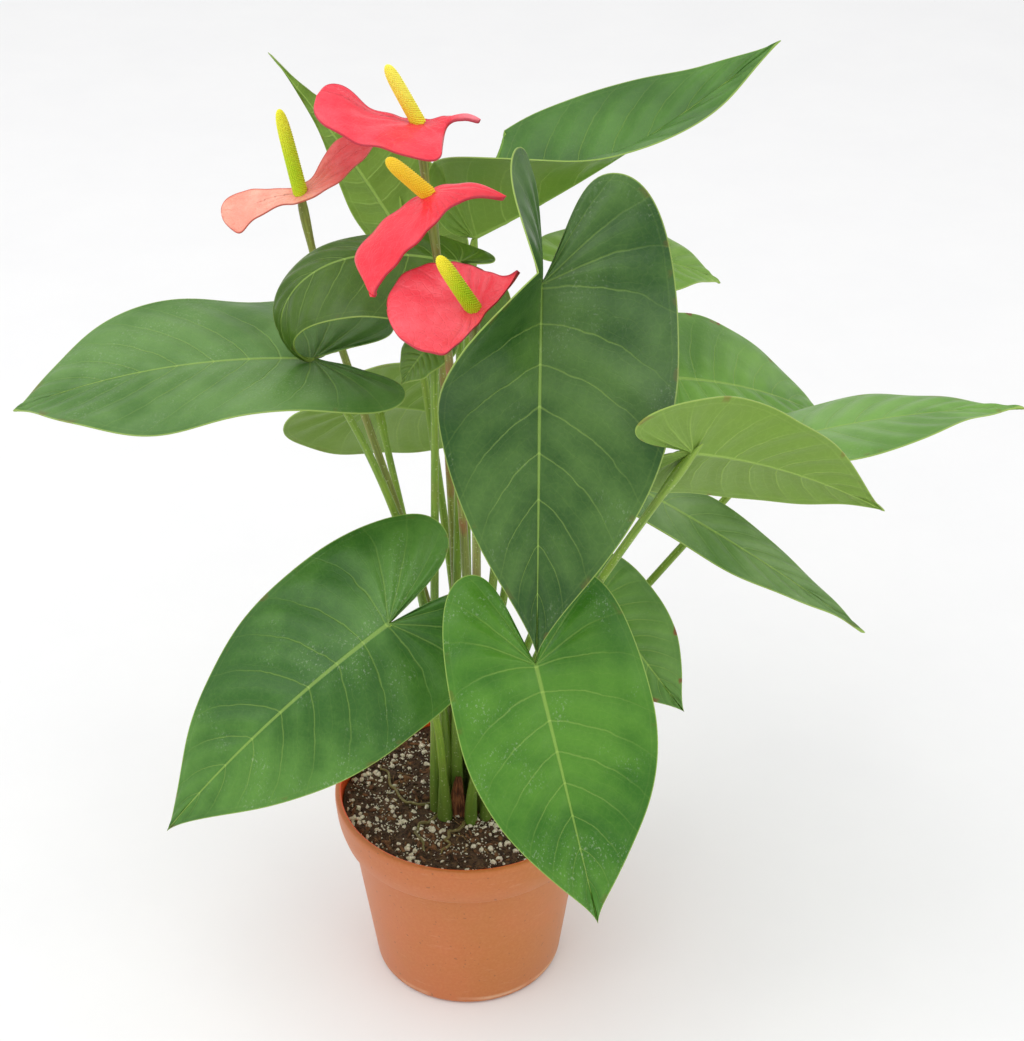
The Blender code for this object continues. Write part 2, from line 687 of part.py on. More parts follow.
def inner_profile():
    """(radius, height) down the inside of the pot, from the rim to the rounding at its floor."""
    foot, radius = collar_foot()
    return [
        (RIM_RADIUS - 1.6 * WALL, POT_HEIGHT - 0.3 * LIP),
        (RIM_RADIUS - 0.25 * COLLAR_TAPER - WALL, foot + 0.4 * COLLAR_DEPTH),
        (radius - WALL, foot + 1.25 * WALL), (wall_radius(foot) - WALL, foot + WALL),
        (wall_radius(FLOOR + BASE_ROUND) - WALL, FLOOR + BASE_ROUND),
        (BASE_RADIUS - BASE_ROUND - 0.3 * WALL, FLOOR),
    ]


def pot_profile():
    """Outline of the pot from the middle of its underside, up the outside and down the inside."""
    foot, radius = collar_foot()
    outside = [
        (0.0, 0.0), (BASE_RADIUS - BASE_ROUND, 0.0), (BASE_RADIUS - 0.3 * BASE_ROUND, 0.3 * BASE_ROUND),
        (wall_radius(BASE_ROUND), BASE_ROUND), (wall_radius(foot), foot), (radius - 0.0008, foot + 0.0002),
        (radius, foot + 0.0012), (RIM_RADIUS - 0.25 * COLLAR_TAPER, foot + 0.4 * COLLAR_DEPTH),
        (RIM_RADIUS, POT_HEIGHT - LIP), (RIM_RADIUS - 0.15 * LIP, POT_HEIGHT - 0.35 * LIP),
        (RIM_RADIUS - 0.8 * WALL, POT_HEIGHT),
    ]
    return outside + inner_profile() + [(0.0, FLOOR)]


def build_pot():
    pot = finish("pot", lathe(pot_profile(), POT_SEGMENTS), POT_ORANGE, 0.45, 35.0)
    cutter_data = bmesh.new()
    for k in range(DRAIN_COUNT):
        angle = 2 * math.pi * k / DRAIN_COUNT
        made = bmesh.ops.create_cone(cutter_data, cap_ends=True, segments=14, radius1=DRAIN_RADIUS,
                                     radius2=DRAIN_RADIUS, depth=4 * FLOOR)
        centre = Vector((DRAIN_CIRCLE * math.cos(angle), DRAIN_CIRCLE * math.sin(angle), 0.0))
        bmesh.ops.translate(cutter_data, verts=made["verts"], vec=centre)
    cutter = finish("drain_cutter", cutter_data, POT_ORANGE, 0.5)
    cutter.hide_render = True
    cutter.display_type = "WIRE"
    cut = pot.modifiers.new("drain holes", "BOOLEAN")
    cut.operation = "DIFFERENCE"
    cut.solver = "EXACT"
    cut.object = cutter


def soil_height(x, y):
    """Height of the soil: level around the crown, gently uneven towards the wall."""
    reach = math.hypot(x, y)
    rough = min(1.0, max(0.0, (reach - SOIL_FLAT_RADIUS) / (0.4 * SOIL_FLAT_RADIUS)))
    lumps = math.sin(190 * x + 0.6) * math.cos(160 * y) + 0.6 * math.sin(310 * y + 120 * x)
    return soil_level() + SOIL_UNEVEN * rough * (lumps * 0.45 - 0.25)


def build_soil():
    """The potting mix, filling the pot from its floor to just under the rim."""
    mesh_data = bmesh.new()
    rim, band, band_foot, shelf, low, floor = inner_profile()
    gap = CLEARANCE + 0.0003
    share = (rim[1] - soil_level()) / (rim[1] - band[1])
    top_radius = rim[0] + (band[0] - rim[0]) * share - gap
    rings = []
    for reach in (SOIL_FLAT_RADIUS, 0.030, 0.038, 0.046, top_radius):
        ring = []
        for k in range(SOIL_SEGMENTS):
            a = 2 * math.pi * k / SOIL_SEGMENTS
            x, y = reach * math.cos(a), reach * math.sin(a)
            z = soil_height(x, y) if reach < top_radius else soil_level() - SOIL_UNEVEN
            ring.append(mesh_data.verts.new((x, y, z)))
        rings.append(ring)
    for radius, height in (band, band_foot, shelf, low, floor):
        rings.append([
            mesh_data.verts.new(((radius - gap) * math.cos(a), (radius - gap) * math.sin(a), height + gap))
            for a in (2 * math.pi * k / SOIL_SEGMENTS for k in range(SOIL_SEGMENTS))
        ])
    mesh_data.faces.new(rings[0])
    mesh_data.faces.new(list(reversed(rings[-1])))
    for inner, outer in zip(rings, rings[1:]):
        for k in range(SOIL_SEGMENTS):
            j = (k + 1) % SOIL_SEGMENTS
            mesh_data.faces.new([inner[k], outer[k], outer[j], inner[j]])
    bmesh.ops.triangulate(mesh_data, faces=mesh_data.faces)
    finish("soil", mesh_data, SOIL_BROWN, 0.95, 25.0)


def build_crown():
    """Short thick stems that the inner stalks stand on."""
    for index in range(CROWN_STEMS):
        centre = crown_stem_centre(index) + np.array([0, 0, CLEARANCE])
        heights = [0.0, 0.25, 0.6, 0.9, 1.0]
        path = [centre + np.array([0, 0, h * CROWN_STEM_HEIGHT]) for h in heights]
        radii = [crown_stem_radius() * share for share in (0.90, 1.0, 0.97, 1.0, 0.95)]
        finish(f"crown_stem_{index + 1}", tube(path, radii, 12), STALK_GREEN, 0.5)


# ---------------------------------------------------------------- build
def clear_scene():
    for obj in list(bpy.data.objects):
        bpy.data.objects.remove(obj, do_unlink=True)


def build_sheaths():
    """Thin papery scales that stand round the crown and taper to a blunt point."""
    for index, bearing in enumerate(SHEATH_BEARINGS):
        mesh_data = bmesh.new()
        skins = []
        for reach in (sheath_circle(), sheath_circle() + SHEATH_THICKNESS):
            rows = []
            for row in range(SHEATH_ROWS + 1):
                up = row / SHEATH_ROWS
                spread = SHEATH_HALF_ANGLE * math.sqrt(1.0 - 0.97 * up**1.5)
                height = soil_level() + CLEARANCE + SHEATH_HEIGHT * up
                rows.append([])
                for column in range(SHEATH_COLUMNS + 1):
                    angle = math.radians(bearing + spread * (2 * column / SHEATH_COLUMNS - 1))
                    spot = (reach * math.cos(angle), reach * math.sin(angle), height)
                    rows[-1].append(mesh_data.verts.new(spot))
            skins.append(rows)
        inner, outer = skins
        for row in range(SHEATH_ROWS):
            for column in range(SHEATH_COLUMNS):
                for skin in (inner, outer):
                    low, high = skin[row], skin[row + 1]
                    mesh_data.faces.new([low[column], low[column + 1], high[column + 1], high[column]])
            for column in (0, SHEATH_COLUMNS):
                mesh_data.faces.new([inner[row][column], outer[row][column],
                                     outer[row + 1][column], inner[row + 1][column]])
        for column in range(SHEATH_COLUMNS):
            for row in (0, SHEATH_ROWS):
                mesh_data.faces.new([inner[row][column], outer[row][column],
                                     outer[row][column + 1], inner[row][column + 1]])
        finish(f"sheath_{index + 1}", mesh_data, SHEATH_BROWN, 0.8)


def build_roots():
    """Thin roots that lie on the soil and run out from the crown."""
    near = outer_ring() + FOOT_SWELL * STALK_RADIUS + ROOT_RADIUS
    for index, (far, first, last) in enumerate(ROOTS):
        path = []
        for step in range(ROOT_STEPS + 1):
            share = step / ROOT_STEPS
            reach = near + (far - near) * share
            angle = math.radians(first + (last - first) * share**1.3 + 5.0 * math.sin(7.0 * share + index))
            x, y = reach * math.cos(angle), reach * math.sin(angle)
            path.append((x, y, soil_height(x, y) + ROOT_RADIUS + CLEARANCE + ROOT_LIFT))
        radii = [ROOT_RADIUS * (1.0 - 0.45 * step / ROOT_STEPS) for step in range(ROOT_STEPS + 1)]
        finish(f"root_{index + 1}", tube(path, radii, 6), ROOT_TAN, 0.75)


def build_leaves():
    for name, (blade, stalk) in LEAVES.items():
        finish(f"leaf_{name}", blade_mesh(blade), LEAF_GREEN, 0.38)
        finish(f"stalk_{name}", stalk_mesh(stalk, under_blade(blade, stalk)), STALK_GREEN, 0.42)


def build_flowers():
    for name, (spathe, stalk, top) in FLOWERS.items():
        finish(f"spathe_{name}", spathe_mesh(spathe), SPATHE_RED, 0.3)
        finish(f"spadix_{name}", spadix_mesh(spathe, top), SPADIX_YELLOW, 0.6)
        plane = off_spathe(spathe, stalk.radius, -1)
        finish(f"flower_stalk_{name}", stalk_mesh(stalk, plane), STALK_BROWN, 0.42)


def main():
    clear_scene()
    build_pot()
    build_soil()
    build_crown()
    build_sheaths()
    build_roots()
    build_leaves()
    build_flowers()


main()
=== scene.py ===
"""Looks of a potted anthurium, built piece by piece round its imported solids.

Units are metres, +Z is up and the origin is the middle of the pot's underside, as in the frame.
Every blade, stalk, flower part, root and grain is a fine mesh that stands for its plain solid.
"""

import logging
import math
from dataclasses import dataclass, field
from enum import Enum
from typing import Any, Iterable

import bpy
import numpy as np
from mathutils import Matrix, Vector


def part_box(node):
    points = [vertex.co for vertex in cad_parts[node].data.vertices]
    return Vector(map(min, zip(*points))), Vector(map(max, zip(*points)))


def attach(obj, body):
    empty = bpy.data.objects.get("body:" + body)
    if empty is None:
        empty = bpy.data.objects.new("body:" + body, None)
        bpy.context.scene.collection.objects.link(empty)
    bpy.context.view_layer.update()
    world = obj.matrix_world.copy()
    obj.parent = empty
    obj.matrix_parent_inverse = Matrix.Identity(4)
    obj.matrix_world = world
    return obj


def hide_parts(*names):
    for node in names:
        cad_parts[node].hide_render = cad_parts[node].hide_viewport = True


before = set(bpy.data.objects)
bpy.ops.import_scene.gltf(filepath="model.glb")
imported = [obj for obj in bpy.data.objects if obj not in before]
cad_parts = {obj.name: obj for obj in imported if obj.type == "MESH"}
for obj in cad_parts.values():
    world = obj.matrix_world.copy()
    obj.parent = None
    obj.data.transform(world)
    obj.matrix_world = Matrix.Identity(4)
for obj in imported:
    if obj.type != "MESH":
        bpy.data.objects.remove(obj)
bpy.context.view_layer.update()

BODY = "root"
LOG = logging.getLogger("anthurium")

Array = np.ndarray
Point = tuple[float, float, float]
Pair = tuple[float, float]
Color = tuple[float, float, float]


# ---------------------------------------------------------------- small sums
def unit(vectors: Array) -> Array:
    """Vectors along the last axis at length one."""
    vectors = np.asarray(vectors, float)
    return vectors / np.linalg.norm(vectors, axis=-1, keepdims=True)


def turn(vector: Array, axis: Array, angle: Array | float) -> Array:
    """Turn vectors about unit axes.

    Args:
        vector: one vector, or one per row.
        axis: one unit axis, or one per row.
        angle: radians, one or one per row.

    Returns:
        The turned vectors.
    """
    vector, axis = np.asarray(vector, float), np.asarray(axis, float)
    cosine, sine = np.cos(angle), np.sin(angle)
    if np.ndim(angle):
        cosine, sine = cosine[..., None], sine[..., None]
    along = (axis * vector).sum(axis=-1, keepdims=True)
    return vector * cosine + np.cross(axis, vector) * sine + axis * along * (1 - cosine)


def bezier(points: Iterable[Any], t: Array | float) -> Array:
    """Points on the cubic Bezier curve of four control points, at shares t of its run.

    Args:
        points: four control points.
        t: shares of its run.

    Returns:
        One point per share.
    """
    a, b, c, d = (np.asarray(p, float) for p in points)
    t = np.asarray(t, float)[..., None]
    s = 1 - t
    return a * s**3 + 3 * b * s * s * t + 3 * c * s * t * t + d * t**3


def ease(values: Array | float, low: float, high: float) -> Array:
    """Zero below low, one above high and smooth between."""
    share = np.clip((np.asarray(values, float) - low) / (high - low), 0, 1)
    return share * share * (3 - 2 * share)


def swell(points: Array, pitch: float, seed: float) -> Array:
    """Gentle bumps from minus one to one over points, a sum of a few slanted waves.

    Args:
        points: one point per row.
        pitch: rough distance from bump to bump.
        seed: shifts the bumps.

    Returns:
        One height per point.
    """
    total = np.zeros(points.shape[:-1])
    rng = np.random.default_rng(int(seed * 7919) + 11)
    for _ in range(5):
        heading = unit(rng.normal(size=3)) * 2 * math.pi / (pitch * rng.uniform(0.7, 1.5))
        total += np.sin(points @ heading + rng.uniform(0, 6.28))
    return total / 5


def srgb(red: int, green: int, blue: int) -> Color:
    """A display colour as the linear numbers that a shader takes."""
    return tuple((c / 255 / 12.92) if c < 11 else ((c / 255 + 0.055) / 1.055) ** 2.4 for c in (red, green, blue))


# ---------------------------------------------------------------- nodes as Python sums
class Value:
    """One node output that takes part in Python sums."""

    def __init__(self, graph: "Graph", socket: bpy.types.NodeSocket) -> None:
        """Wrap a socket of the graph."""
        self.graph = graph
        self.socket = socket

    def math(self, operation: str, first: Any, second: Any = 0.0) -> "Value":
        """The result of one Math node."""
        return self.graph.node("ShaderNodeMath", {"operation": operation}, {0: first, 1: second})

    def __add__(self, other: Any) -> "Value":
        """self + other."""
        return self.math("ADD", self, other)

    __radd__ = __add__

    def __sub__(self, other: Any) -> "Value":
        """self - other."""
        return self.math("SUBTRACT", self, other)

    def __rsub__(self, other: Any) -> "Value":
        """other - self."""
        return self.math("SUBTRACT", other, self)

    def __mul__(self, other: Any) -> "Value":
        """self * other."""
        return self.math("MULTIPLY", self, other)

    __rmul__ = __mul__

    def __truediv__(self, other: Any) -> "Value":
        """self / other."""
        return self.math("DIVIDE", self, other)

    def __pow__(self, other: Any) -> "Value":
        """self to a power."""
        return self.math("POWER", self, other)

    def sine(self) -> "Value":
        """The sine of an angle in radians."""
        return self.math("SINE", self)

    def cosine(self) -> "Value":
        """The cosine of an angle in radians."""
        return self.math("COSINE", self)

    def to_line(self) -> "Value":
        """Distance to the nearest whole number."""
        return self.math("ABSOLUTE", self.math("FRACT", self + 0.5) - 0.5)

    def size(self) -> "Value":
        """The value without its sign."""
        return self.math("ABSOLUTE", self)

    def ease(self, low: Any, high: Any) -> "Value":
        """Zero below low, one above high and smooth between."""
        settings = {"interpolation_type": "SMOOTHSTEP"}
        return self.graph.node("ShaderNodeMapRange", settings, {0: self, 1: low, 2: high})

    def other(self, name: str | int) -> "Value":
        """Another output of the same node."""
        return Value(self.graph, self.socket.node.outputs[name])


class Graph:
    """A node tree that is written from Python."""

    def __init__(self, tree: bpy.types.NodeTree) -> None:
        """Write into an existing tree."""
        self.tree = tree

    def node(self, kind: str, settings: dict | None = None, inputs: dict | None = None, output: Any = 0) -> Value:
        """Add a node.

        Args:
            kind: the node's type.
            settings: what is set before its sockets, with "stops" for a colour ramp.
            inputs: values or links by socket name or number.
            output: name or number of the output that is wanted.

        Returns:
            That output.
        """
        made = self.tree.nodes.new(kind)
        for key, value in (settings or {}).items():
            if key == "stops":
                self._stops(made.color_ramp, value)
            else:
                setattr(made, key, value)
        for key, value in (inputs or {}).items():
            if isinstance(value, Value):
                self.tree.links.new(value.socket, made.inputs[key])
            else:
                made.inputs[key].default_value = value
        return Value(self, made.outputs[output])

    @staticmethod
    def _stops(ramp: bpy.types.ColorRamp, stops: list[tuple[float, Color]]) -> None:
        """Fill a colour ramp.

        Args:
            ramp: the ramp to fill.
            stops: place and colour of each stop.
        """
        while len(ramp.elements) < len(stops):
            ramp.elements.new(0.5)
        for element, (place, color) in zip(ramp.elements, stops):
            element.position = place
            element.color = (*color, 1.0)

    def uv(self, name: str) -> tuple[Value, Value]:
        """The two numbers of a piece's own UV map.

        Args:
            name: name of the map.

        Returns:
            The first and the second number.
        """
        found = self.node("ShaderNodeUVMap", {"uv_map": name})
        split = self.node("ShaderNodeSeparateXYZ", None, {0: found})
        return split, split.other(1)

    def attribute(self, name: str) -> Value:
        """A number stored on the points of a piece."""
        return self.node("ShaderNodeAttribute", {"attribute_name": name}, None, "Fac")

    def place(self, stretch: Point = (1.0, 1.0, 1.0), shift: float = 0.0) -> Value:
        """Object coordinates, stretched and shifted."""
        where = self.node("ShaderNodeTexCoord", None, None, "Object")
        return self.node("ShaderNodeMapping", None, {"Vector": where, "Scale": stretch, "Location": (shift,) * 3})

    def noise(self, vector: Value, pitch: float, detail: float = 2.0, rough: float = 0.5) -> Value:
        """Cloudy noise with features about this far apart."""
        inputs = {"Vector": vector, "Scale": 1.0 / pitch, "Detail": detail, "Roughness": rough}
        return self.node("ShaderNodeTexNoise", None, inputs)

    def cells(self, vector: Value, pitch: float, feature: str = "F1") -> Value:
        """Distance in a cell pattern of this pitch."""
        inputs = {"Vector": vector, "Scale": 1.0 / pitch}
        return self.node("ShaderNodeTexVoronoi", {"feature": feature}, inputs, "Distance")

    def mix(self, share: Any, first: Any, second: Any) -> Value:
        """A colour between two colours."""
        first, second = (c if isinstance(c, Value) else (*c, 1.0) for c in (first, second))
        return self.node("ShaderNodeMix", {"data_type": "RGBA"}, {0: share, 6: first, 7: second}, 2)

    def bump(self, height: Value, depth: float, normal: Value | None = None) -> Value:
        """A normal from a height of zero to one, depth metres deep.

        Args:
            height: the height, from zero to one.
            depth: how deep a height of one is, in metres.
            normal: a normal to add to, if any.

        Returns:
            The normal.
        """
        inputs: dict = {"Height": height, "Distance": depth, "Strength": 1.0}
        if normal:
            inputs["Normal"] = normal
        return self.node("ShaderNodeBump", None, inputs)


# ---------------------------------------------------------------- finishes
@dataclass(frozen=True)
class Finish:
    """What every finish shares.

    Args:
        name: the material's name.
        seed: shifts its patterns, so that two pieces differ.
    """

    name: str
    seed: float = 0.0

    def constants(self) -> dict[str, Any]:
        """Values that are the same all over the surface."""
        return {}

    def paint(self, graph: Graph) -> dict[str, Value]:
        """Links to the shader's sockets that vary over the surface."""
        raise NotImplementedError

    def material(self) -> bpy.types.Material:
        """The finished material.

        Returns:
            The material.
        """
        made = bpy.data.materials.new(self.name)
        made.use_nodes = True
        graph = Graph(made.node_tree)
        shader = made.node_tree.nodes["Principled BSDF"]
        for name, value in self.constants().items():
            shader.inputs[name].default_value = value
        for name, value in self.paint(graph).items():
            made.node_tree.links.new(value.socket, shader.inputs[name])
        return made


@dataclass(frozen=True)
class LeafFinish(Finish):
    """A leathery leaf: two greens, paler ribs, painted shade between the ribs, a pale rim, dust, scars and a paler
    underside.
    """

    deep: Color = srgb(50, 92, 26)
    fresh: Color = srgb(92, 140, 44)
    rib: Color = srgb(150, 182, 84)
    back: Color = srgb(112, 146, 52)
    dust: float = 0.2
    scars: float = 0.0

    def constants(self) -> dict[str, Any]:
        """A waxy surface that lets a little light through."""
        return {"Specular IOR Level": 0.28, "Coat Weight": 0.04, "Coat Roughness": 0.3,
                "Subsurface Weight": 0.06, "Subsurface Radius": (0.6, 1.0, 0.2), "Subsurface Scale": 0.0010}

    def paint(self, graph: Graph) -> dict[str, Value]:
        """Ribs and the painted panel shade from the blade's own maps, the rest from noise.

        Args:
            graph: the material's node tree.

        Returns:
            The links by socket name.
        """
        order, reach = graph.uv("rib")
        pitch, edge = graph.uv("gap")
        share, out = graph.uv("lay")
        under = graph.attribute("under")
        where = graph.place(shift=self.seed)
        wander = graph.noise(where, 0.009, 2.0)
        side_rib = 1 - ((order + (wander - 0.5) * 0.16).to_line() * pitch).ease(0.10, 0.55)
        side_rib = side_rib * (1 - reach.ease(0.35, 0.92) * 0.75)
        hem = 1 - (edge - 2.6 + (wander - 0.5) * 1.2).size().ease(0.1, 0.5)
        small = 1 - ((order * 3 + 0.5 + (wander - 0.5) * 0.9).to_line() * pitch).ease(0.1, 0.9)
        small = small * (1 - reach.ease(0.6, 0.9)) * reach.ease(0.02, 0.2)
        net = 1 - graph.cells(where, 0.0034, "DISTANCE_TO_EDGE").ease(0.01, 0.10)
        half = 1.20 - 1.0 * share
        middle = (1 - out.ease(half * 0.45, half)) * share.ease(-0.01, 0.01)
        ribs = side_rib.math("MAXIMUM", side_rib * 0.75, middle)
        fine = small * 0.30 + net * 0.16 + hem * 0.30
        patch = graph.noise(where, 0.045, 3.0, 0.6).ease(0.33, 0.68)
        grain = graph.noise(where, 0.0016, 2.0)
        # Painted shade: the leaf is darker along each side rib and lighter in the middle of each quilted panel
        # between them, standing in for light on its bulges.
        painted_panel_shade = order.to_line().ease(0.05, 0.5) * (1 - reach.ease(0.8, 1.0))
        top = graph.mix(patch * 0.68 + painted_panel_shade * 0.14 - 0.06 + (grain - 0.5) * 0.30, self.deep, self.fresh)
        top = graph.mix(side_rib * 0.26 + middle * 0.50 + fine * 0.14, top, self.rib)
        low = graph.mix(patch * 0.5, self.back, self.fresh)
        low = graph.mix(ribs * 0.65 + fine * 0.5, low, self.rib)
        skin = graph.mix(under, top, low)
        skin = graph.mix((1 - edge.ease(0.15, 0.60)) * 0.55, skin, srgb(168, 192, 96))
        streaks = graph.noise(graph.place((1.0, 1.0, 0.45), self.seed + 3), 0.0032, 4.0, 0.7)
        cover = graph.noise(where, 0.022, 2.0)
        speck = graph.noise(graph.place((1.0, 1.0, 0.6), self.seed + 5), 0.0009, 2.0, 0.6).ease(0.56, 0.72)
        film = (streaks.ease(0.60, 0.80) * 0.40 + speck * 0.40) * cover.ease(0.48, 0.64) * self.dust * (1 - under)
        skin = graph.mix(film, skin, srgb(206, 214, 196))
        nick = graph.noise(graph.place(shift=self.seed + 9), 0.008, 1.0).ease(0.62, 0.68) * (1 - edge.ease(0.8, 3.0))
        skin = graph.mix(nick * self.scars, skin, srgb(120, 74, 34))
        sink = (ribs * 0.75 + fine * 0.35) * (2 * under - 1)
        height = 0.5 + sink * 0.45 + (grain - 0.5) * 0.08 + (graph.noise(where, 0.004, 3.0) - 0.5) * 0.25
        gloss = 0.36 + (grain - 0.5) * 0.12 + film * 0.35 + ribs * 0.08 + under * 0.14
        return {"Base Color": skin, "Roughness": gloss, "Normal": graph.bump(height, 0.0006)}


@dataclass(frozen=True)
class SpatheFinish(Finish):
    """A waxy spathe with pressed-in ribs, paler patches and a darker rim.

    Its colours go from red and light at its left end to far and far_light at its right end,
    over the shares of its length in change.
    """

    red: Color = srgb(236, 62, 80)
    light: Color = srgb(250, 104, 116)
    far: Color = srgb(236, 62, 80)
    far_light: Color = srgb(250, 104, 116)
    rim: Color = srgb(170, 32, 54)
    back: Color = srgb(206, 56, 66)
    change: Pair = (0.5, 0.9)

    def constants(self) -> dict[str, Any]:
        """Glossy wax over soft flesh."""
        return {"Specular IOR Level": 0.35, "Coat Weight": 0.12, "Coat Roughness": 0.15,
                "Subsurface Weight": 0.10, "Subsurface Radius": (1.0, 0.35, 0.3), "Subsurface Scale": 0.0015}

    def paint(self, graph: Graph) -> dict[str, Value]:
        """Ribs follow the blade's own maps.

        Args:
            graph: the material's node tree.

        Returns:
            The links by socket name.
        """
        order, reach = graph.uv("rib")
        pitch, edge = graph.uv("gap")
        share, out = graph.uv("lay")
        under = graph.attribute("under")
        where = graph.place(shift=self.seed)
        wander = graph.noise(where, 0.006, 2.0)
        side_rib = 1 - ((order + (wander - 0.5) * 0.3).to_line() * pitch).ease(0.05, 0.8)
        side_rib = side_rib * (1 - reach.ease(0.75, 0.95)) * reach.ease(0.0, 0.15)
        middle = (1 - out.ease(0.2, 0.9)) * share.ease(-0.01, 0.03)
        ribs = side_rib.math("MAXIMUM", side_rib * 0.8, middle)
        net = 1 - graph.cells(where, 0.0026, "DISTANCE_TO_EDGE").ease(0.01, 0.12)
        patch = graph.noise(where, 0.016, 3.0, 0.6).ease(0.35, 0.70)
        grain = graph.noise(where, 0.0012, 2.0)
        end = (graph.attribute("end") + (wander - 0.5) * 0.12).ease(*self.change)
        light = graph.mix(end, self.light, self.far_light)
        skin = graph.mix(patch * 0.6 + (grain - 0.5) * 0.25, graph.mix(end, self.red, self.far), light)
        skin = graph.mix(ribs * 0.22 + net * 0.08, skin, light)
        skin = graph.mix(under * 0.7, skin, self.back)
        skin = graph.mix((1 - edge.ease(0.15, 0.9)) * 0.8, skin, self.rim)
        height = 0.5 + (ribs * 0.5 + net * 0.15) * (2 * under - 1) + (graph.noise(where, 0.003, 3.0) - 0.5) * 0.4
        return {"Base Color": skin, "Roughness": 0.34 + (grain - 0.5) * 0.1 + under * 0.08,
                "Normal": graph.bump(height, 0.0005)}


@dataclass(frozen=True)
class StalkFinish(Finish):
    """A smooth green stalk, streaked along its length, browner in places, with painted shade making it deeper green
    at its foot.
    """

    green: Color = srgb(138, 170, 58)
    shade: Color = srgb(108, 142, 44)
    flush: Color = srgb(150, 120, 60)
    flushed: float = 0.15
    # share of painted shade that darkens the stalk at its foot
    painted_foot_shade: float = 0.7

    def constants(self) -> dict[str, Any]:
        """Satin skin."""
        return {"Specular IOR Level": 0.4, "Subsurface Weight": 0.08, "Subsurface Radius": (0.8, 1.0, 0.3),
                "Subsurface Scale": 0.001}

    def paint(self, graph: Graph) -> dict[str, Value]:
        """Streaks run along the tube by its own map: round it, and along it.

        Args:
            graph: the material's node tree.

        Returns:
            The links by socket name.
        """
        around, along = graph.uv("lay")
        where = graph.place(shift=self.seed)
        angle = around * (2 * math.pi)
        lines = graph.node("ShaderNodeCombineXYZ", None,
                           {0: angle.cosine() * 1.5, 1: angle.sine() * 1.5, 2: along * 0.35 + self.seed})
        streak = graph.node("ShaderNodeTexNoise", None, {"Vector": lines, "Scale": 1.6, "Detail": 3.0})
        cloud = graph.noise(where, 0.018, 3.0)
        skin = graph.mix(streak.ease(0.3, 0.7), self.shade, self.green)
        skin = graph.mix(cloud.ease(0.45, 0.75) * self.flushed, skin, self.flush)
        # Painted shade: the stalk darkens towards its foot, low under the leaves.
        skin = graph.mix((1 - along.ease(0.6, 7.0)) * self.painted_foot_shade, skin, srgb(74, 104, 38))
        fleck = graph.noise(where, 0.0011, 1.0).ease(0.66, 0.72)
        skin = graph.mix(fleck * 0.5, skin, srgb(196, 206, 150))
        height = streak * 0.6 + graph.noise(where, 0.0015, 2.0) * 0.4
        return {"Base Color": skin, "Roughness": 0.42 + (cloud - 0.5) * 0.2, "Normal": graph.bump(height, 0.00025)}


@dataclass(frozen=True)
class SpadixFinish(Finish):
    """A grainy rod that fades from one colour at its foot to another at its tip."""

    foot: Color = srgb(168, 190, 28)
    tip: Color = srgb(250, 214, 48)
    change: float = 0.55

    def constants(self) -> dict[str, Any]:
        """Soft and barely glossy."""
        return {"Specular IOR Level": 0.35, "Subsurface Weight": 0.2, "Subsurface Radius": (1.0, 0.8, 0.2),
                "Subsurface Scale": 0.001}

    def paint(self, graph: Graph) -> dict[str, Value]:
        """The fade follows the height that each point stores.

        Args:
            graph: the material's node tree.

        Returns:
            The links by socket name.
        """
        up = graph.attribute("up")
        where = graph.place(shift=self.seed)
        cloud = graph.noise(where, 0.003, 2.0)
        grain = graph.cells(where, 0.0011)
        skin = graph.mix((up + (cloud - 0.5) * 0.25).ease(self.change - 0.4, self.change + 0.3), self.foot, self.tip)
        skin = graph.mix(grain.ease(0.4, 0.8) * 0.10, skin, srgb(206, 176, 24))
        return {"Base Color": skin, "Roughness": 0.5 + (cloud - 0.5) * 0.2, "Normal": graph.bump(1 - grain, 0.00018)}


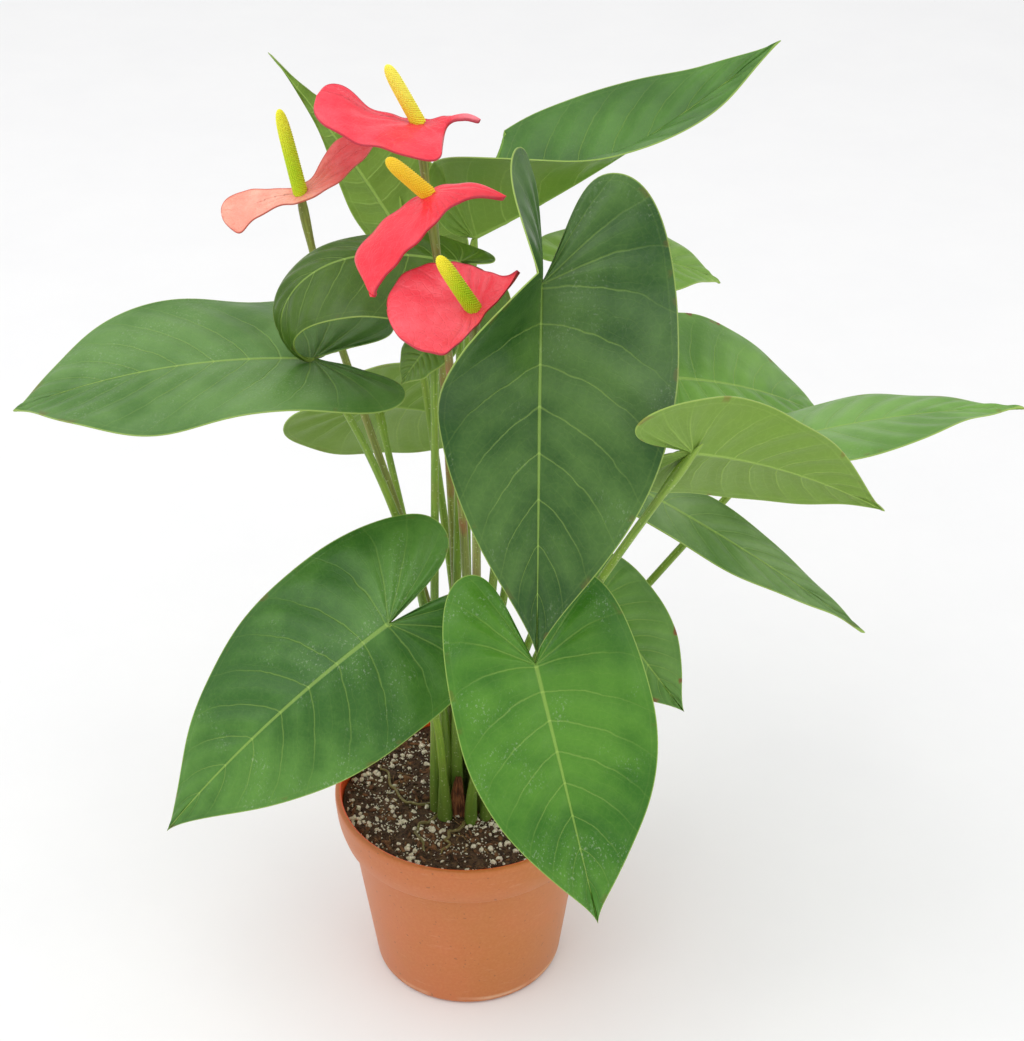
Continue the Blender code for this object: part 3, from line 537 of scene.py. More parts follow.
@dataclass(frozen=True)
class PotFinish(Finish):
    """Thin moulded plastic: mottled, faintly scuffed and dusty at the foot, with painted light inside: a brighter,
    deeper orange for light shining through the thin wall.
    """

    warm: Color = srgb(190, 106, 54)
    brown: Color = srgb(180, 106, 44)
    # painted light: a bright orange for the inner wall, as if lit through the thin plastic
    inside: Color = srgb(240, 84, 22)

    def constants(self) -> dict[str, Any]:
        """Satin plastic that glows a little where it is thin."""
        return {"Specular IOR Level": 0.45, "Subsurface Weight": 0.08, "Subsurface Radius": (1.0, 0.4, 0.2),
                "Subsurface Scale": 0.001}

    def paint(self, graph: Graph) -> dict[str, Value]:
        """Side comes from Object coordinates, the painted light inside from a stored number.

        Args:
            graph: the material's node tree.

        Returns:
            The links by socket name.
        """
        where = graph.place(shift=self.seed)
        split = graph.node("ShaderNodeSeparateXYZ", None, {0: graph.place()})
        height = split.other(2)
        inner = graph.attribute("inner")
        cloud = graph.noise(where, 0.035, 3.0, 0.6)
        side = (split * 9.0 + (cloud - 0.5) * 1.6 + 0.5).ease(0.0, 1.0)
        skin = graph.mix(side, self.warm, self.brown)
        # Painted light: the inner wall turns a brighter orange, as if lit through the thin plastic.
        skin = graph.mix(inner, skin, self.inside)
        dapple = graph.noise(where, 0.0014, 2.0)
        skin = graph.mix((dapple - 0.5) * 0.3 + 0.03, skin, srgb(226, 166, 112))
        scuff = graph.noise(graph.place((1.0, 1.0, 5.0), 2.0), 0.012, 4.0, 0.7).ease(0.60, 0.72)
        foot = (1 - (height - 0.0035 + (cloud - 0.5) * 0.003).size().ease(0.0002, 0.0018)) * cloud.ease(0.35, 0.6)
        grime = graph.noise(graph.place(shift=5.0), 0.0022, 1.0).ease(0.71, 0.75)
        skin = graph.mix(scuff * 0.10 + foot * 0.45, skin, srgb(238, 208, 178))
        skin = graph.mix(grime * 0.5, skin, srgb(120, 74, 44))
        flow = graph.noise(graph.place((1.0, 1.0, 0.08)), 0.004, 2.0)
        relief = flow * 0.4 + dapple * 0.2 + graph.noise(where, 0.0005, 1.0) * 0.15
        return {"Base Color": skin, "Roughness": 0.40 + (dapple - 0.5) * 0.12 + scuff * 0.10 + foot * 0.2,
                "Normal": graph.bump(relief, 0.00012)}


@dataclass(frozen=True)
class GrainFinish(Finish):
    """Loose mix: two colours from grain to grain, with a rough broken surface."""

    dark: Color = srgb(40, 28, 22)
    light: Color = srgb(92, 66, 46)
    pitch: float = 0.0025
    relief: float = 0.0004
    rough: float = 0.9

    def constants(self) -> dict[str, Any]:
        """Dry and dull."""
        return {"Specular IOR Level": 0.25}

    def paint(self, graph: Graph) -> dict[str, Value]:
        """Two sizes of noise.

        Args:
            graph: the material's node tree.

        Returns:
            The links by socket name.
        """
        where = graph.place(shift=self.seed)
        lump = graph.noise(where, self.pitch, 4.0, 0.65)
        grit = graph.noise(where, self.pitch * 0.2, 2.0)
        skin = graph.mix((lump * 0.7 + grit * 0.4).ease(0.35, 0.78), self.dark, self.light)
        return {"Base Color": skin, "Roughness": self.rough - grit * 0.15,
                "Normal": graph.bump(lump * 0.6 + grit * 0.4, self.relief)}


@dataclass(frozen=True)
class HuskFinish(Finish):
    """A dry papery scale with fibres along it."""

    dark: Color = srgb(84, 46, 30)
    light: Color = srgb(150, 98, 62)

    def constants(self) -> dict[str, Any]:
        """Dull paper."""
        return {"Specular IOR Level": 0.3}

    def paint(self, graph: Graph) -> dict[str, Value]:
        """Upright fibres, torn darker spots.

        Args:
            graph: the material's node tree.

        Returns:
            The links by socket name.
        """
        fibre = graph.noise(graph.place((1.0, 1.0, 0.12), self.seed), 0.0009, 3.0, 0.6)
        cloud = graph.noise(graph.place(shift=self.seed), 0.006, 3.0)
        skin = graph.mix(fibre.ease(0.35, 0.65), self.dark, self.light)
        skin = graph.mix(cloud.ease(0.5, 0.7) * 0.6, skin, srgb(58, 34, 24))
        return {"Base Color": skin, "Roughness": 0.62 + fibre * 0.2, "Normal": graph.bump(fibre, 0.0004)}


@dataclass(frozen=True)
class FloorFinish(Finish):
    """A pale floor with the faintest grain."""

    pale: Color = srgb(241, 241, 241)

    def constants(self) -> dict[str, Any]:
        """Matt."""
        return {"Specular IOR Level": 0.2}

    def paint(self, graph: Graph) -> dict[str, Value]:
        """Soft clouds in a near white.

        Args:
            graph: the material's node tree.

        Returns:
            The links by socket name.
        """
        cloud = graph.noise(graph.place(), 0.09, 5.0, 0.65)
        skin = graph.mix(cloud, self.pale, srgb(235, 235, 236))
        return {"Base Color": skin, "Roughness": 0.85 + cloud * 0.1}


# ---------------------------------------------------------------- pieces from numbers
def piece(name: str, points: Array, faces: list, finish: bpy.types.Material,
          smooth: float = 50.0) -> bpy.types.Object:
    """A mesh object at the origin, shaded smooth but for sharp edges.

    Args:
        name: its name.
        points: one point per row, in metres.
        faces: corner numbers of each face, counter-clockwise from outside.
        finish: its material.
        smooth: edges sharper than this many degrees stay sharp.

    Returns:
        The object.
    """
    mesh = bpy.data.meshes.new(name)
    mesh.from_pydata([tuple(p) for p in points], [], faces)
    mesh.shade_smooth()
    mesh.set_sharp_from_angle(angle=math.radians(smooth))
    mesh.materials.append(finish)
    made = bpy.data.objects.new(name, mesh)
    bpy.context.scene.collection.objects.link(made)
    return made


def store(made: bpy.types.Object, name: str, values: Array) -> None:
    """Keep one number per point on a piece."""
    kept = made.data.attributes.new(name, "FLOAT", "POINT")
    kept.data.foreach_set("value", np.asarray(values, np.float32))


def store_map(made: bpy.types.Object, name: str, corners: Array) -> None:
    """Keep a pair of numbers per face corner as a UV map."""
    kept = made.data.uv_layers.new(name=name)
    kept.data.foreach_set("uv", np.asarray(corners, np.float32).ravel())


def settle(made: bpy.types.Object, slot: str, *nodes: str) -> bpy.types.Object:
    """Tie a finished piece to the body and hide the solids it stands for.

    Args:
        made: the finished piece.
        slot: not used.

    Returns:
        The same piece.
    """
    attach(made, BODY)
    if nodes:
        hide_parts(*nodes)
    LOG.info("%s: %d faces", made.name, len(made.data.polygons))
    return made


def shell(inner: Array, outer: Array) -> tuple[Array, list]:
    """Points and faces of a closed sheet between two grids of points.

    Args:
        inner: rows and columns of points on the hollow side.
        outer: the same on the other side.

    Returns:
        The points and the faces.
    """
    rows, columns = inner.shape[:2]
    count = rows * columns
    ids = np.arange(count).reshape(rows, columns)
    faces = []
    for i in range(rows - 1):
        for j in range(columns - 1):
            a, b, c, d = ids[i, j], ids[i, j + 1], ids[i + 1, j + 1], ids[i + 1, j]
            faces.append((count + a, count + b, count + c, count + d))
            faces.append((d, c, b, a))
    rim = [*ids[0], *ids[1:, -1], *ids[-1, -2::-1], *ids[-2:0:-1, 0]]
    for a, b in zip(rim, rim[1:] + rim[:1]):
        faces.append((a, b, count + b, count + a))
    return np.concatenate([inner.reshape(-1, 3), outer.reshape(-1, 3)]), [tuple(map(int, f)) for f in faces]


class Tube:
    """A closed tube along a path, with its own map round it and along it.

    Args:
        path: one point per row.
        radii: the radius at each point.
        sides: corners of its section.
        start: a point and a normal that cut the first end, or None.
        end: the same for the last end.
    """

    def __init__(self, path: Array, radii: Array, sides: int = 16, start: tuple | None = None,
                 end: tuple | None = None) -> None:
        """Lay rings along the path without twist.

        Args:
            path: one point per row.
            radii: the radius at each point.
            sides: corners of its section.
            start: a point and a normal that cut the first end, or None.
            end: the same for the last end.
        """
        self.sides = sides
        path = np.asarray(path, float)
        tangents = unit(np.gradient(path, axis=0))
        helper = (1.0, 0.0, 0.0) if abs(tangents[0][0]) < 0.8 else (0.0, 1.0, 0.0)
        across = unit(np.cross(tangents[0], helper))
        angles = np.arange(sides) * 2 * math.pi / sides
        rings = []
        for point, tangent, radius in zip(path, tangents, radii):
            across = unit(across - (across @ tangent) * tangent)
            other = np.cross(tangent, across)
            ring = np.cos(angles)[:, None] * across + np.sin(angles)[:, None] * other
            rings.append(point + radius * ring)
        if start:
            rings[0] = self._cut(rings[0], tangents[0], *start)
        if end:
            rings[-1] = self._cut(rings[-1], tangents[-1], *end)
        self.points = np.concatenate([*rings, [rings[0].mean(axis=0), rings[-1].mean(axis=0)]])
        self.rings = len(rings)
        steps = np.linalg.norm(np.diff(path, axis=0), axis=1)
        self.along = np.concatenate([[0], np.cumsum(steps)])

    @staticmethod
    def _cut(ring: Array, direction: Array, spot: Array, normal: Array) -> Array:
        """Slide a ring along its direction on to a plane."""
        return ring + direction * (((spot - ring) @ normal) / (direction @ normal))[:, None]

    def build(self, name: str, finish: bpy.types.Material) -> bpy.types.Object:
        """The tube as an object, with the map "lay": centimetres round it and along it.

        Args:
            name: the object's name.
            finish: its material.

        Returns:
            The object.
        """
        faces, corners = [], []
        last = len(self.points) - 1
        for i in range(self.rings - 1):
            low, high = i * self.sides, (i + 1) * self.sides
            for k in range(self.sides):
                j = (k + 1) % self.sides
                faces.append((low + k, low + j, high + j, high + k))
                a, b = k / self.sides, (k + 1) / self.sides
                near, far = self.along[i] * 100, self.along[i + 1] * 100
                corners += [(a, near), (b, near), (b, far), (a, far)]
        for k in range(self.sides):
            j = (k + 1) % self.sides
            top = (self.rings - 1) * self.sides
            faces.append((last - 1, j, k))
            corners += [(0.5, 0.0)] * 3
            faces.append((last, top + k, top + j))
            corners += [(0.5, self.along[-1] * 100)] * 3
        made = piece(name, self.points, faces, finish)
        store_map(made, "lay", corners)
        return made


# ---------------------------------------------------------------- blades
@dataclass(frozen=True)
class Form:
    """Outline of a half: shares of the midrib's length and of the half's width."""

    widest: float
    belly: float
    drip: float
    drip_width: float


class Outline(Enum):
    """The outlines that blades of this plant have."""

    LEAF = Form(0.20, 0.62, 0.84, 0.10)
    FULL = Form(0.32, 0.80, 0.88, 0.16)
    SLENDER = Form(0.16, 0.40, 0.55, 0.05)


@dataclass(frozen=True)
class Blade:
    """A heart-shaped blade. Angles are in degrees, lengths in metres.

    base is where the stalk meets the blade, tip is the drip tip, and face points the way its
    upper side looks. Pairs hold the left and the right half, seen from above with the tip away.
    """

    base: Point
    tip: Point
    face: Point
    width: Pair
    lobe: Pair
    form: Outline = Outline.LEAF
    sinus: float = 0.06
    bow: float = 30.0
    hook: float = 1.0
    fold: Pair = (8.0, 8.0)
    fold_tip: Pair = (8.0, 8.0)
    curl: Pair = (-12.0, -12.0)
    lift: Pair = (0.0, 0.0)
    lobe_fold: Pair = (0.0, 0.0)
    twist: float = 0.0
    wave: float = 0.0015
    phase: float = 0.0


class BladeSheet:
    """Turns a blade's description into a fine closed sheet with maps for its ribs.

    Args:
        blade: the description.
        thickness: of the sheet between its ribs.
        quilt: height of the soft bulges between ribs.
        ruffle: height of the small waves along the edge.
        keel: height of the midrib under the blade.
        seed: shifts the dents.
    """

    SEAM = 0.40  # share of the outline that its ribs reach from the base itself
    NOTCH, FLANK = 0.22, 0.50  # shares of the outline where its three curves meet
    MIDRIB_STEPS = 96
    LOBE_SHARE, LOBE_EASE = 0.34, 0.30
    FIRST_RIB, BASE_RIBS, RIB_STEP = 0.07, 3, 0.07  # where ribs start and how far apart they are
    RAYS, ROWS = 96, 26

    def __init__(self, blade: Blade, thickness: float, quilt: float, ruffle: float, keel: float, seed: float) -> None:
        """Work out the midrib's length and its first heading.

        Args:
            blade: the description.
            thickness: of the sheet.
            quilt: height of the bulges between ribs.
            ruffle: height of the waves along the edge.
            keel: height of the midrib underneath.
            seed: shifts the dents.
        """
        self.blade, self.thickness, self.seed = blade, thickness, seed
        self.quilt, self.ruffle, self.keel = quilt, ruffle, keel
        base, tip = np.array(blade.base), np.array(blade.tip)
        span = np.linalg.norm(tip - base)
        direction = (tip - base) / span
        face = np.array(blade.face)
        normal = unit(face - (face @ direction) * direction)
        self.side = np.cross(direction, normal)
        self.bow = math.radians(blade.bow)
        shares = (np.arange(self.MIDRIB_STEPS) + 0.5) / self.MIDRIB_STEPS
        headings = -self.bow * shares**blade.hook
        self.forward = np.concatenate([[0], np.cumsum(np.cos(headings))]) / self.MIDRIB_STEPS
        self.upward = np.concatenate([[0], np.cumsum(np.sin(headings))]) / self.MIDRIB_STEPS
        self.length = span / math.hypot(self.forward[-1], self.upward[-1])
        slant = -math.atan2(self.upward[-1], self.forward[-1])
        self.tangent = turn(direction, self.side, slant)
        self.up = np.cross(self.side, self.tangent)

    def _edge(self, t: Array, which: int) -> Array:
        """Flat points on one half's edge, from the notch round the lobe to the tip.

        Args:
            t: where on the outline, from the notch at 0 to the tip at 1.
            which: 0 for the left half, 1 for the right.

        Returns:
            Along the midrib and out from it, one pair per point.
        """
        blade, form = self.blade, self.blade.form.value
        width, lobe, sinus = blade.width[which], blade.lobe[which], blade.sinus
        widest = form.widest * self.length
        bend = ((-lobe, (0.42 + sinus / 2) * width),)
        notch = ((0, 0), (-0.45 * lobe, sinus * width), (-lobe, (sinus + 0.04) * width), *bend)
        flank = (*bend, (-lobe, 0.84 * width), (widest - 0.62 * (lobe + widest), width), (widest, width))
        run = ((widest, width), (form.belly * self.length, width),
               (form.drip * self.length, form.drip_width * width), (self.length, 0))
        t = t[..., None]
        return np.where(t < self.NOTCH, bezier(notch, t[..., 0] / self.NOTCH),
                        np.where(t < self.FLANK, bezier(flank, (t[..., 0] - self.NOTCH) / (self.FLANK - self.NOTCH)),
                                 bezier(run, (t[..., 0] - self.FLANK) / (1 - self.FLANK))))

    def flat(self, t: Array, s: Array, which: int) -> Array:
        """Flat points: along the midrib and out from it, at share s of the rib that ends at t.

        Args:
            t: where on the outline, from the notch at 0 to the tip at 1.
            s: how far out along the rib, from 0 to 1.
            which: 0 for the left half, 1 for the right.

        Returns:
            Along the midrib and out from it, one pair per point.
        """
        shares = np.clip((t - self.SEAM) / (1 - self.SEAM), 0, None)
        start = np.stack([self.length * shares**1.15, np.zeros_like(t)], axis=-1)
        end = self._edge(t, which)
        bend = np.stack([0.10 * (start[..., 0] - end[..., 0]), 0.06 * (end[..., 1] - start[..., 1])], axis=-1)
        middle = (start + end) / 2 + bend
        s = s[..., None]
        return start * (1 - s) ** 2 + 2 * middle * s * (1 - s) + end * s * s

    def place(self, flat: Array, which: int) -> Array:
        """Places in space of flat points on one half.

        Args:
            flat: along the midrib and out from it, one pair per point.
            which: 0 for the left half, 1 for the right.

        Returns:
            One point in space per flat point.
        """
        blade, hand = self.blade, (-1, 1)[which]
        along, out = flat[..., 0], np.clip(flat[..., 1], 0, None)
        share = along / self.length
        ahead = np.clip(share, 0, 1)
        stations = np.linspace(0, 1, self.MIDRIB_STEPS + 1)
        lift = math.radians(blade.lift[which]) * np.clip(-along, 0, None) / blade.lobe[which]
        forward = np.interp(share, stations, self.forward)[..., None]
        upward = np.interp(share, stations, self.upward)[..., None]
        front = self.length * (self.tangent * forward + self.up * upward)
        behind = turn(self.tangent, self.side, -lift * 0.5) * along[..., None]
        is_front = (along >= 0)[..., None]
        spot = np.array(blade.base) + np.where(is_front, front, behind)
        turned = np.where(along >= 0, -self.bow * ahead**blade.hook, -lift)
        tangent = turn(self.tangent, self.side, turned)
        across = turn(self.side, tangent, math.radians(blade.twist) * ahead)
        up = np.cross(across, tangent)
        late = ahead**0.7
        near = np.clip(1 - share / self.LOBE_SHARE, 0, 1)
        near = near - self.LOBE_EASE * np.clip(-along, 0, None) / blade.lobe[which]
        fold = blade.fold[which] * (1 - late) + blade.fold_tip[which] * late + blade.lobe_fold[which] * near
        fold = np.radians(fold)
        width = blade.width[which]
        curl = math.radians(blade.curl[which]) / width
        flat_out = (np.sin(fold + curl * out) - np.sin(fold)) / curl
        high = (np.cos(fold) - np.cos(fold + curl * out)) / curl
        high = high + blade.wave * (out / width) ** 2 * np.sin(7.5 * share + blade.phase + 1.3 * hand)
        return spot + across * (hand * flat_out)[..., None] + up * high[..., None]

    def order(self, t: Array, s: Array) -> Array:
        """Which rib a point is on: whole numbers are ribs, which lean towards the tip.

        Args:
            t: where on the outline, from the notch at 0 to the tip at 1.
            s: how far out along the rib, from 0 to 1.

        Returns:
            One number per point.
        """
        near = (t - self.FIRST_RIB) / 0.09
        last = self.FIRST_RIB + 0.09 * self.BASE_RIBS
        far = self.BASE_RIBS + (t - last) / self.RIB_STEP
        return np.where(t < last, near, far) - 0.7 * s**1.6

    def build(self, name: str, finish: bpy.types.Material) -> bpy.types.Object:
        """The sheet as one closed object with its maps.

        Args:
            name: the object's name.
            finish: its material.

        Returns:
            The object.
        """
        points: list[Array] = []
        grids, tables = [], []
        count = 0
        t_run = np.linspace(0, 1, self.RAYS + 1)
        s_run = np.linspace(0, 1, self.ROWS + 1) ** 1.25
        t, s = np.meshgrid(t_run, s_run, indexing="ij")
        for which in (0, 1):
            flat = self.flat(t, s, which)
            spots = self.place(flat, which)
            step = 1e-3
            ahead = self.flat(np.clip(t + step, 0, 1), s, which)
            behind = self.flat(np.clip(t - step, 0, 1), s, which)
            ranks = self.order(np.clip(t + step, 0, 1), s) - self.order(np.clip(t - step, 0, 1), s)
            pitch = np.linalg.norm(ahead - behind, axis=-1) / np.maximum(ranks, 1e-6) * 1000
            edge = np.linalg.norm(flat - flat[:, -1:], axis=-1) * 1000
            rank = self.order(t, s)
            tables.append((rank, s, pitch, edge, flat[..., 0] / self.length, flat[..., 1] * 1000))
            grid = np.arange(spots.shape[0] * spots.shape[1]).reshape(spots.shape[:2]) + count
            count += grid.size
            points.append(spots.reshape(-1, 3))
            grids.append(grid)
        cloud = np.concatenate(points)
        keys = np.round(cloud / 2e-7).astype(np.int64)
        _, first, index = np.unique(keys, axis=0, return_index=True, return_inverse=True)
        index = index.reshape(-1)
        middle = cloud[first]
        faces, loops = self._faces(grids, index, tables)
        normals = self._normals(middle, faces)
        relief = self._relief(tables, first, middle)
        keel = self._keel(tables, first)
        half = self.thickness / 2
        top = middle + normals * (relief + half)[:, None]
        low = middle + normals * (relief - half - keel)[:, None]
        total = len(middle)
        rim = [index[grids[0][:, -1]][::-1], index[grids[1][:, -1]]]
        shell = list(faces) + [tuple(total + c for c in reversed(face)) for face in faces]
        corner_rows = loops + [row[::-1] for row in loops]
        for edge in rim:
            for a, b in zip(edge, edge[1:]):
                if a != b:
                    shell.append((b, a, total + a, total + b))
                    corner_rows.append([(0.0, 1.0, 9.0, 0.0, 0.5, 9.0)] * 4)
        made = piece(name, np.concatenate([top, low]), shell, finish, 60.0)
        flat_rows = np.array([corner for row in corner_rows for corner in row])
        store_map(made, "rib", flat_rows[:, 0:2])
        store_map(made, "gap", flat_rows[:, 2:4])
        store_map(made, "lay", flat_rows[:, 4:6])
        store(made, "under", np.concatenate([np.zeros(total), np.ones(total)]))
        return made

    @staticmethod
    def _faces(grids: list[Array], index: Array, tables: list) -> tuple[list, list]:
        """Faces over both halves, and the six map numbers of each of their corners.

        Args:
            grids: point numbers of each half.
            index: which merged point each one became.
            tables: the six map numbers of every point of each half.

        Returns:
            The faces, and the map numbers of their corners.
        """
        faces, loops = [], []
        for which, grid in enumerate(grids):
            stack = np.stack(tables[which], axis=-1)
            for i in range(grid.shape[0] - 1):
                for j in range(grid.shape[1] - 1):
                    cells = [(i, j), (i, j + 1), (i + 1, j + 1), (i + 1, j)]
                    if not which:
                        cells.reverse()
                    ids = [int(index[grid[c]]) for c in cells]
                    kept = [k for k in range(4) if ids[k] != ids[k - 1]]
                    if len(kept) > 2:
                        faces.append(tuple(ids[k] for k in kept))
                        loops.append([tuple(stack[cells[k]]) for k in kept])
        return faces, loops

    def _normals(self, points: Array, faces: list) -> Array:
        """Averaged normals that point to the upper side.

        Args:
            points: one point per row.
            faces: corner numbers of each face.

        Returns:
            One normal per point.
        """
        normals = np.zeros_like(points)
        for size in (3, 4):
            corners = np.array([f for f in faces if len(f) == size], int)
            if len(corners):
                a, b, c = points[corners[:, 0]], points[corners[:, 1]], points[corners[:, -1]]
                flat = np.cross(b - a, c - a)
                for column in range(size):
                    np.add.at(normals, corners[:, column], flat)
        return unit(normals)

    def _relief(self, tables: list, first: Array, middle: Array) -> Array:
        """How far each point rises: quilting between ribs, edge waves and soft dents.

        Args:
            tables: the six map numbers of every point of each half.
            first: the row that each merged point came from.
            middle: points of the sheet's middle.

        Returns:
            One height per point.
        """
        rows = [np.concatenate([table[k].ravel() for table in tables])[first] for k in range(6)]
        rank, s, pitch, edge, share, _ = rows
        room = np.clip(pitch / 6.0, 0, 1) * ease(s, 0.0, 0.2) * (1 - ease(s, 0.82, 1.0))
        quilt = self.quilt * room * np.sin(math.pi * rank) ** 2
        waves = self.ruffle * ease(s, 0.5, 1.0) * np.sin(rank * 1.9 + self.seed) * np.sin(share * 5 + self.seed * 2)
        dents = 0.5 * self.quilt * swell(middle, 0.030, self.seed) * ease(s, 0.0, 0.4)
        return quilt + waves + dents

    def _keel(self, tables: list, first: Array) -> Array:
        """How far the midrib and the ribs stand out under the blade.

        Args:
            tables: the six map numbers of every point of each half.
            first: the row that each merged point came from.

        Returns:
            One height per point.
        """
        rows = [np.concatenate([table[k].ravel() for table in tables])[first] for k in range(6)]
        rank, s, pitch, _, share, out = rows
        along = np.clip(share, 0, 1)
        middle = self.keel * (1 - 0.8 * along) * np.exp(-(out / (1.3 - 0.7 * along)) ** 2) * ease(share, -0.05, 0.02)
        lines = np.exp(-((np.abs(rank - np.round(rank)) * pitch / 0.7) ** 2)) * (1 - ease(s, 0.6, 0.95))
        return middle + 0.25 * self.keel * lines


# ---------------------------------------------------------------- spathes
@dataclass(frozen=True)
class Spathe:
    """A waxy bract: a bent sheet drawn over ribs that cross it.

    Each rib holds its middle in millimetres, its half width in millimetres, and in degrees the
    compass turn of its near end from -Y and the drop of that end. base is where the stalk and the
    spadix meet: a rib number, and the share of the half width towards the near end. arch is the
    rise of a rib's middle above its ends.
    """

    ribs: tuple
    base: Pair
    arch: float = 0.0


class SpatheSheet:
    """Turns a spathe's ribs into a fine closed sheet.

    Args:
        spathe: the ribs.
        thickness: of the sheet.
        pucker: height of its dents.
        ruffle: height of the waves along its edge.
        seed: shifts them.
    """

    ROWS, COLUMNS = 112, 40

    def __init__(self, spathe: Spathe, thickness: float, pucker: float, ruffle: float, seed: float) -> None:
        """Find where the stalk and the spadix meet it.

        Args:
            spathe: the ribs.
            thickness: of the sheet.
            pucker: height of the dents.
            ruffle: height of the waves along the edge.
            seed: shifts the dents.
        """
        self.spathe, self.thickness, self.seed = spathe, thickness, seed
        self.pucker, self.ruffle = pucker, ruffle
        spot, up = self.surface(np.array([spathe.base[0]]), np.array([spathe.base[1]]))
        self.foot, self.up = spot[0], up[0]

    def rib(self, place: Array) -> tuple[Array, Array, Array]:
        """Middle, half width and near heading at fractional rib numbers.

        Args:
            place: fractional rib numbers.

        Returns:
            Middles, half widths and directions.
        """
        ribs = np.array(self.spathe.ribs, float)
        last = len(ribs) - 1
        index = np.minimum(last - 1, place.astype(int))
        local = (place - index)[..., None]
        a, b, c, d = (ribs[np.clip(index + k, 0, last)] for k in (-1, 0, 1, 2))
        rib = 0.5 * (2 * b + (c - a) * local + (2 * a - 5 * b + 4 * c - d) * local**2
                     + (3 * b - a - 3 * c + d) * local**3)
        end = np.clip(np.minimum(place, last - place), 0, 1)
        half = rib[..., 3] / 1000 * np.maximum(0.08, np.sqrt(np.clip(1 - (1 - end) ** 2, 0, 1)))
        yaw, drop = np.radians(rib[..., 4]), np.radians(rib[..., 5])
        near = np.stack([np.sin(yaw) * np.cos(drop), -np.cos(yaw) * np.cos(drop), -np.sin(drop)], axis=-1)
        return rib[..., :3] / 1000, half, near

    def surface(self, place: Array, out: Array) -> tuple[Array, Array]:
        """Points of the sheet and their upward normals.

        Args:
            place: fractional rib numbers.
            out: shares of the half width, from -1 to 1.

        Returns:
            Points and normals.
        """
        middle, half, near = self.rib(place)
        last = len(self.spathe.ribs) - 1
        ahead = self.rib(np.minimum(place + 0.2, last))[0]
        behind = self.rib(np.maximum(place - 0.2, 0))[0]
        normal = unit(np.cross(near, unit(ahead - behind)))
        normal = np.where(normal[..., 2:] > 0, normal, -normal)
        spot = middle + near * (half * out)[..., None] + normal * (self.spathe.arch * (1 - out * out))[..., None]
        return spot, normal

    def build(self, name: str, finish: bpy.types.Material) -> bpy.types.Object:
        """The sheet as one closed object with its maps.

        Args:
            name: the object's name.
            finish: its material.

        Returns:
            The object.
        """
        last = len(self.spathe.ribs) - 1
        share = np.linspace(0, 1, self.ROWS + 1)
        place = last * (share - 0.11 * np.sin(4 * math.pi * share) / (4 * math.pi) * 2)
        place, out = np.meshgrid(place, np.sin(np.linspace(-1, 1, self.COLUMNS + 1) * math.pi / 2), indexing="ij")
        spot, normal = self.surface(place, out)
        _, half, _ = self.rib(place)
        edge = half * (1 - np.abs(out)) * 1000
        away = spot - self.foot
        reach = np.linalg.norm(away, axis=-1)
        bearing = np.arctan2(away @ np.cross(self.up, (1.0, 0, 0)), away[..., 0])
        order = bearing * 2.6 + 0.9 * np.sin(bearing * 2 + self.seed)
        pitch = np.minimum(reach * 1000 / 2.6, 9.0)
        hollow = -self.pucker * 0.6 * np.cos(order * 2 * math.pi) * ease(reach, 0.003, 0.012) * ease(edge, 0.0, 3.0)
        dents = self.pucker * swell(spot, 0.014, self.seed)
        waves = self.ruffle * (1 - ease(edge, 0.0, 4.0)) * np.sin(place * 5.1 + self.seed) * ease(half, 0.002, 0.008)
        pit = -0.0005 * np.exp(-((reach / 0.005) ** 2))
        lift = (hollow + dents + waves + pit)[..., None]
        half_sheet = self.thickness / 2
        points, faces = shell(spot + normal * (lift - half_sheet), spot + normal * (lift + half_sheet))
        if self._inside_out(points, faces):
            faces = [face[::-1] for face in faces]
        made = piece(name, points, faces, finish, 60.0)
        corners = np.array([corner for face in faces for corner in face]) % order.size
        tables = [np.stack(pair, axis=-1).reshape(-1, 2)[corners] for pair in
                  ((order, np.clip(1 - edge / 8, 0, 1)), (pitch, edge), (reach * 0 - 1, reach * 1000))]
        for key, table in zip(("rib", "gap", "lay"), tables):
            store_map(made, key, table)
        store(made, "under", np.repeat((1.0, 0.0), order.size))
        store(made, "end", np.tile((place / last).ravel(), 2))
        return made

    @staticmethod
    def _inside_out(points: Array, faces: list) -> bool:
        """Whether the closed sheet's faces point inwards.

        Args:
            points: one point per row.
            faces: corner numbers of each face.

        Returns:
            True if they do.
        """
        quads = np.array(faces)
        a, b, c, d = (points[quads[:, k]] for k in range(4))
        return float((np.cross(b - a, c - a) * a).sum() + (np.cross(c - a, d - a) * a).sum()) < 0


# ---------------------------------------------------------------- stalks
@dataclass(frozen=True)
class Stalk:
    """How a stalk rises: from the top of a crown stem, or from the mix where stem is None.

    bearing is the compass angle of its foot, rise and reach are the shares of its span that its
    curve spends going up and arriving, and arrive is its direction where it meets the blade.
    """

    bearing: float
    arrive: Point
    stem: int | None = None
    rise: float = 0.35
    reach: float = 0.30
    radius: float = 0.0020


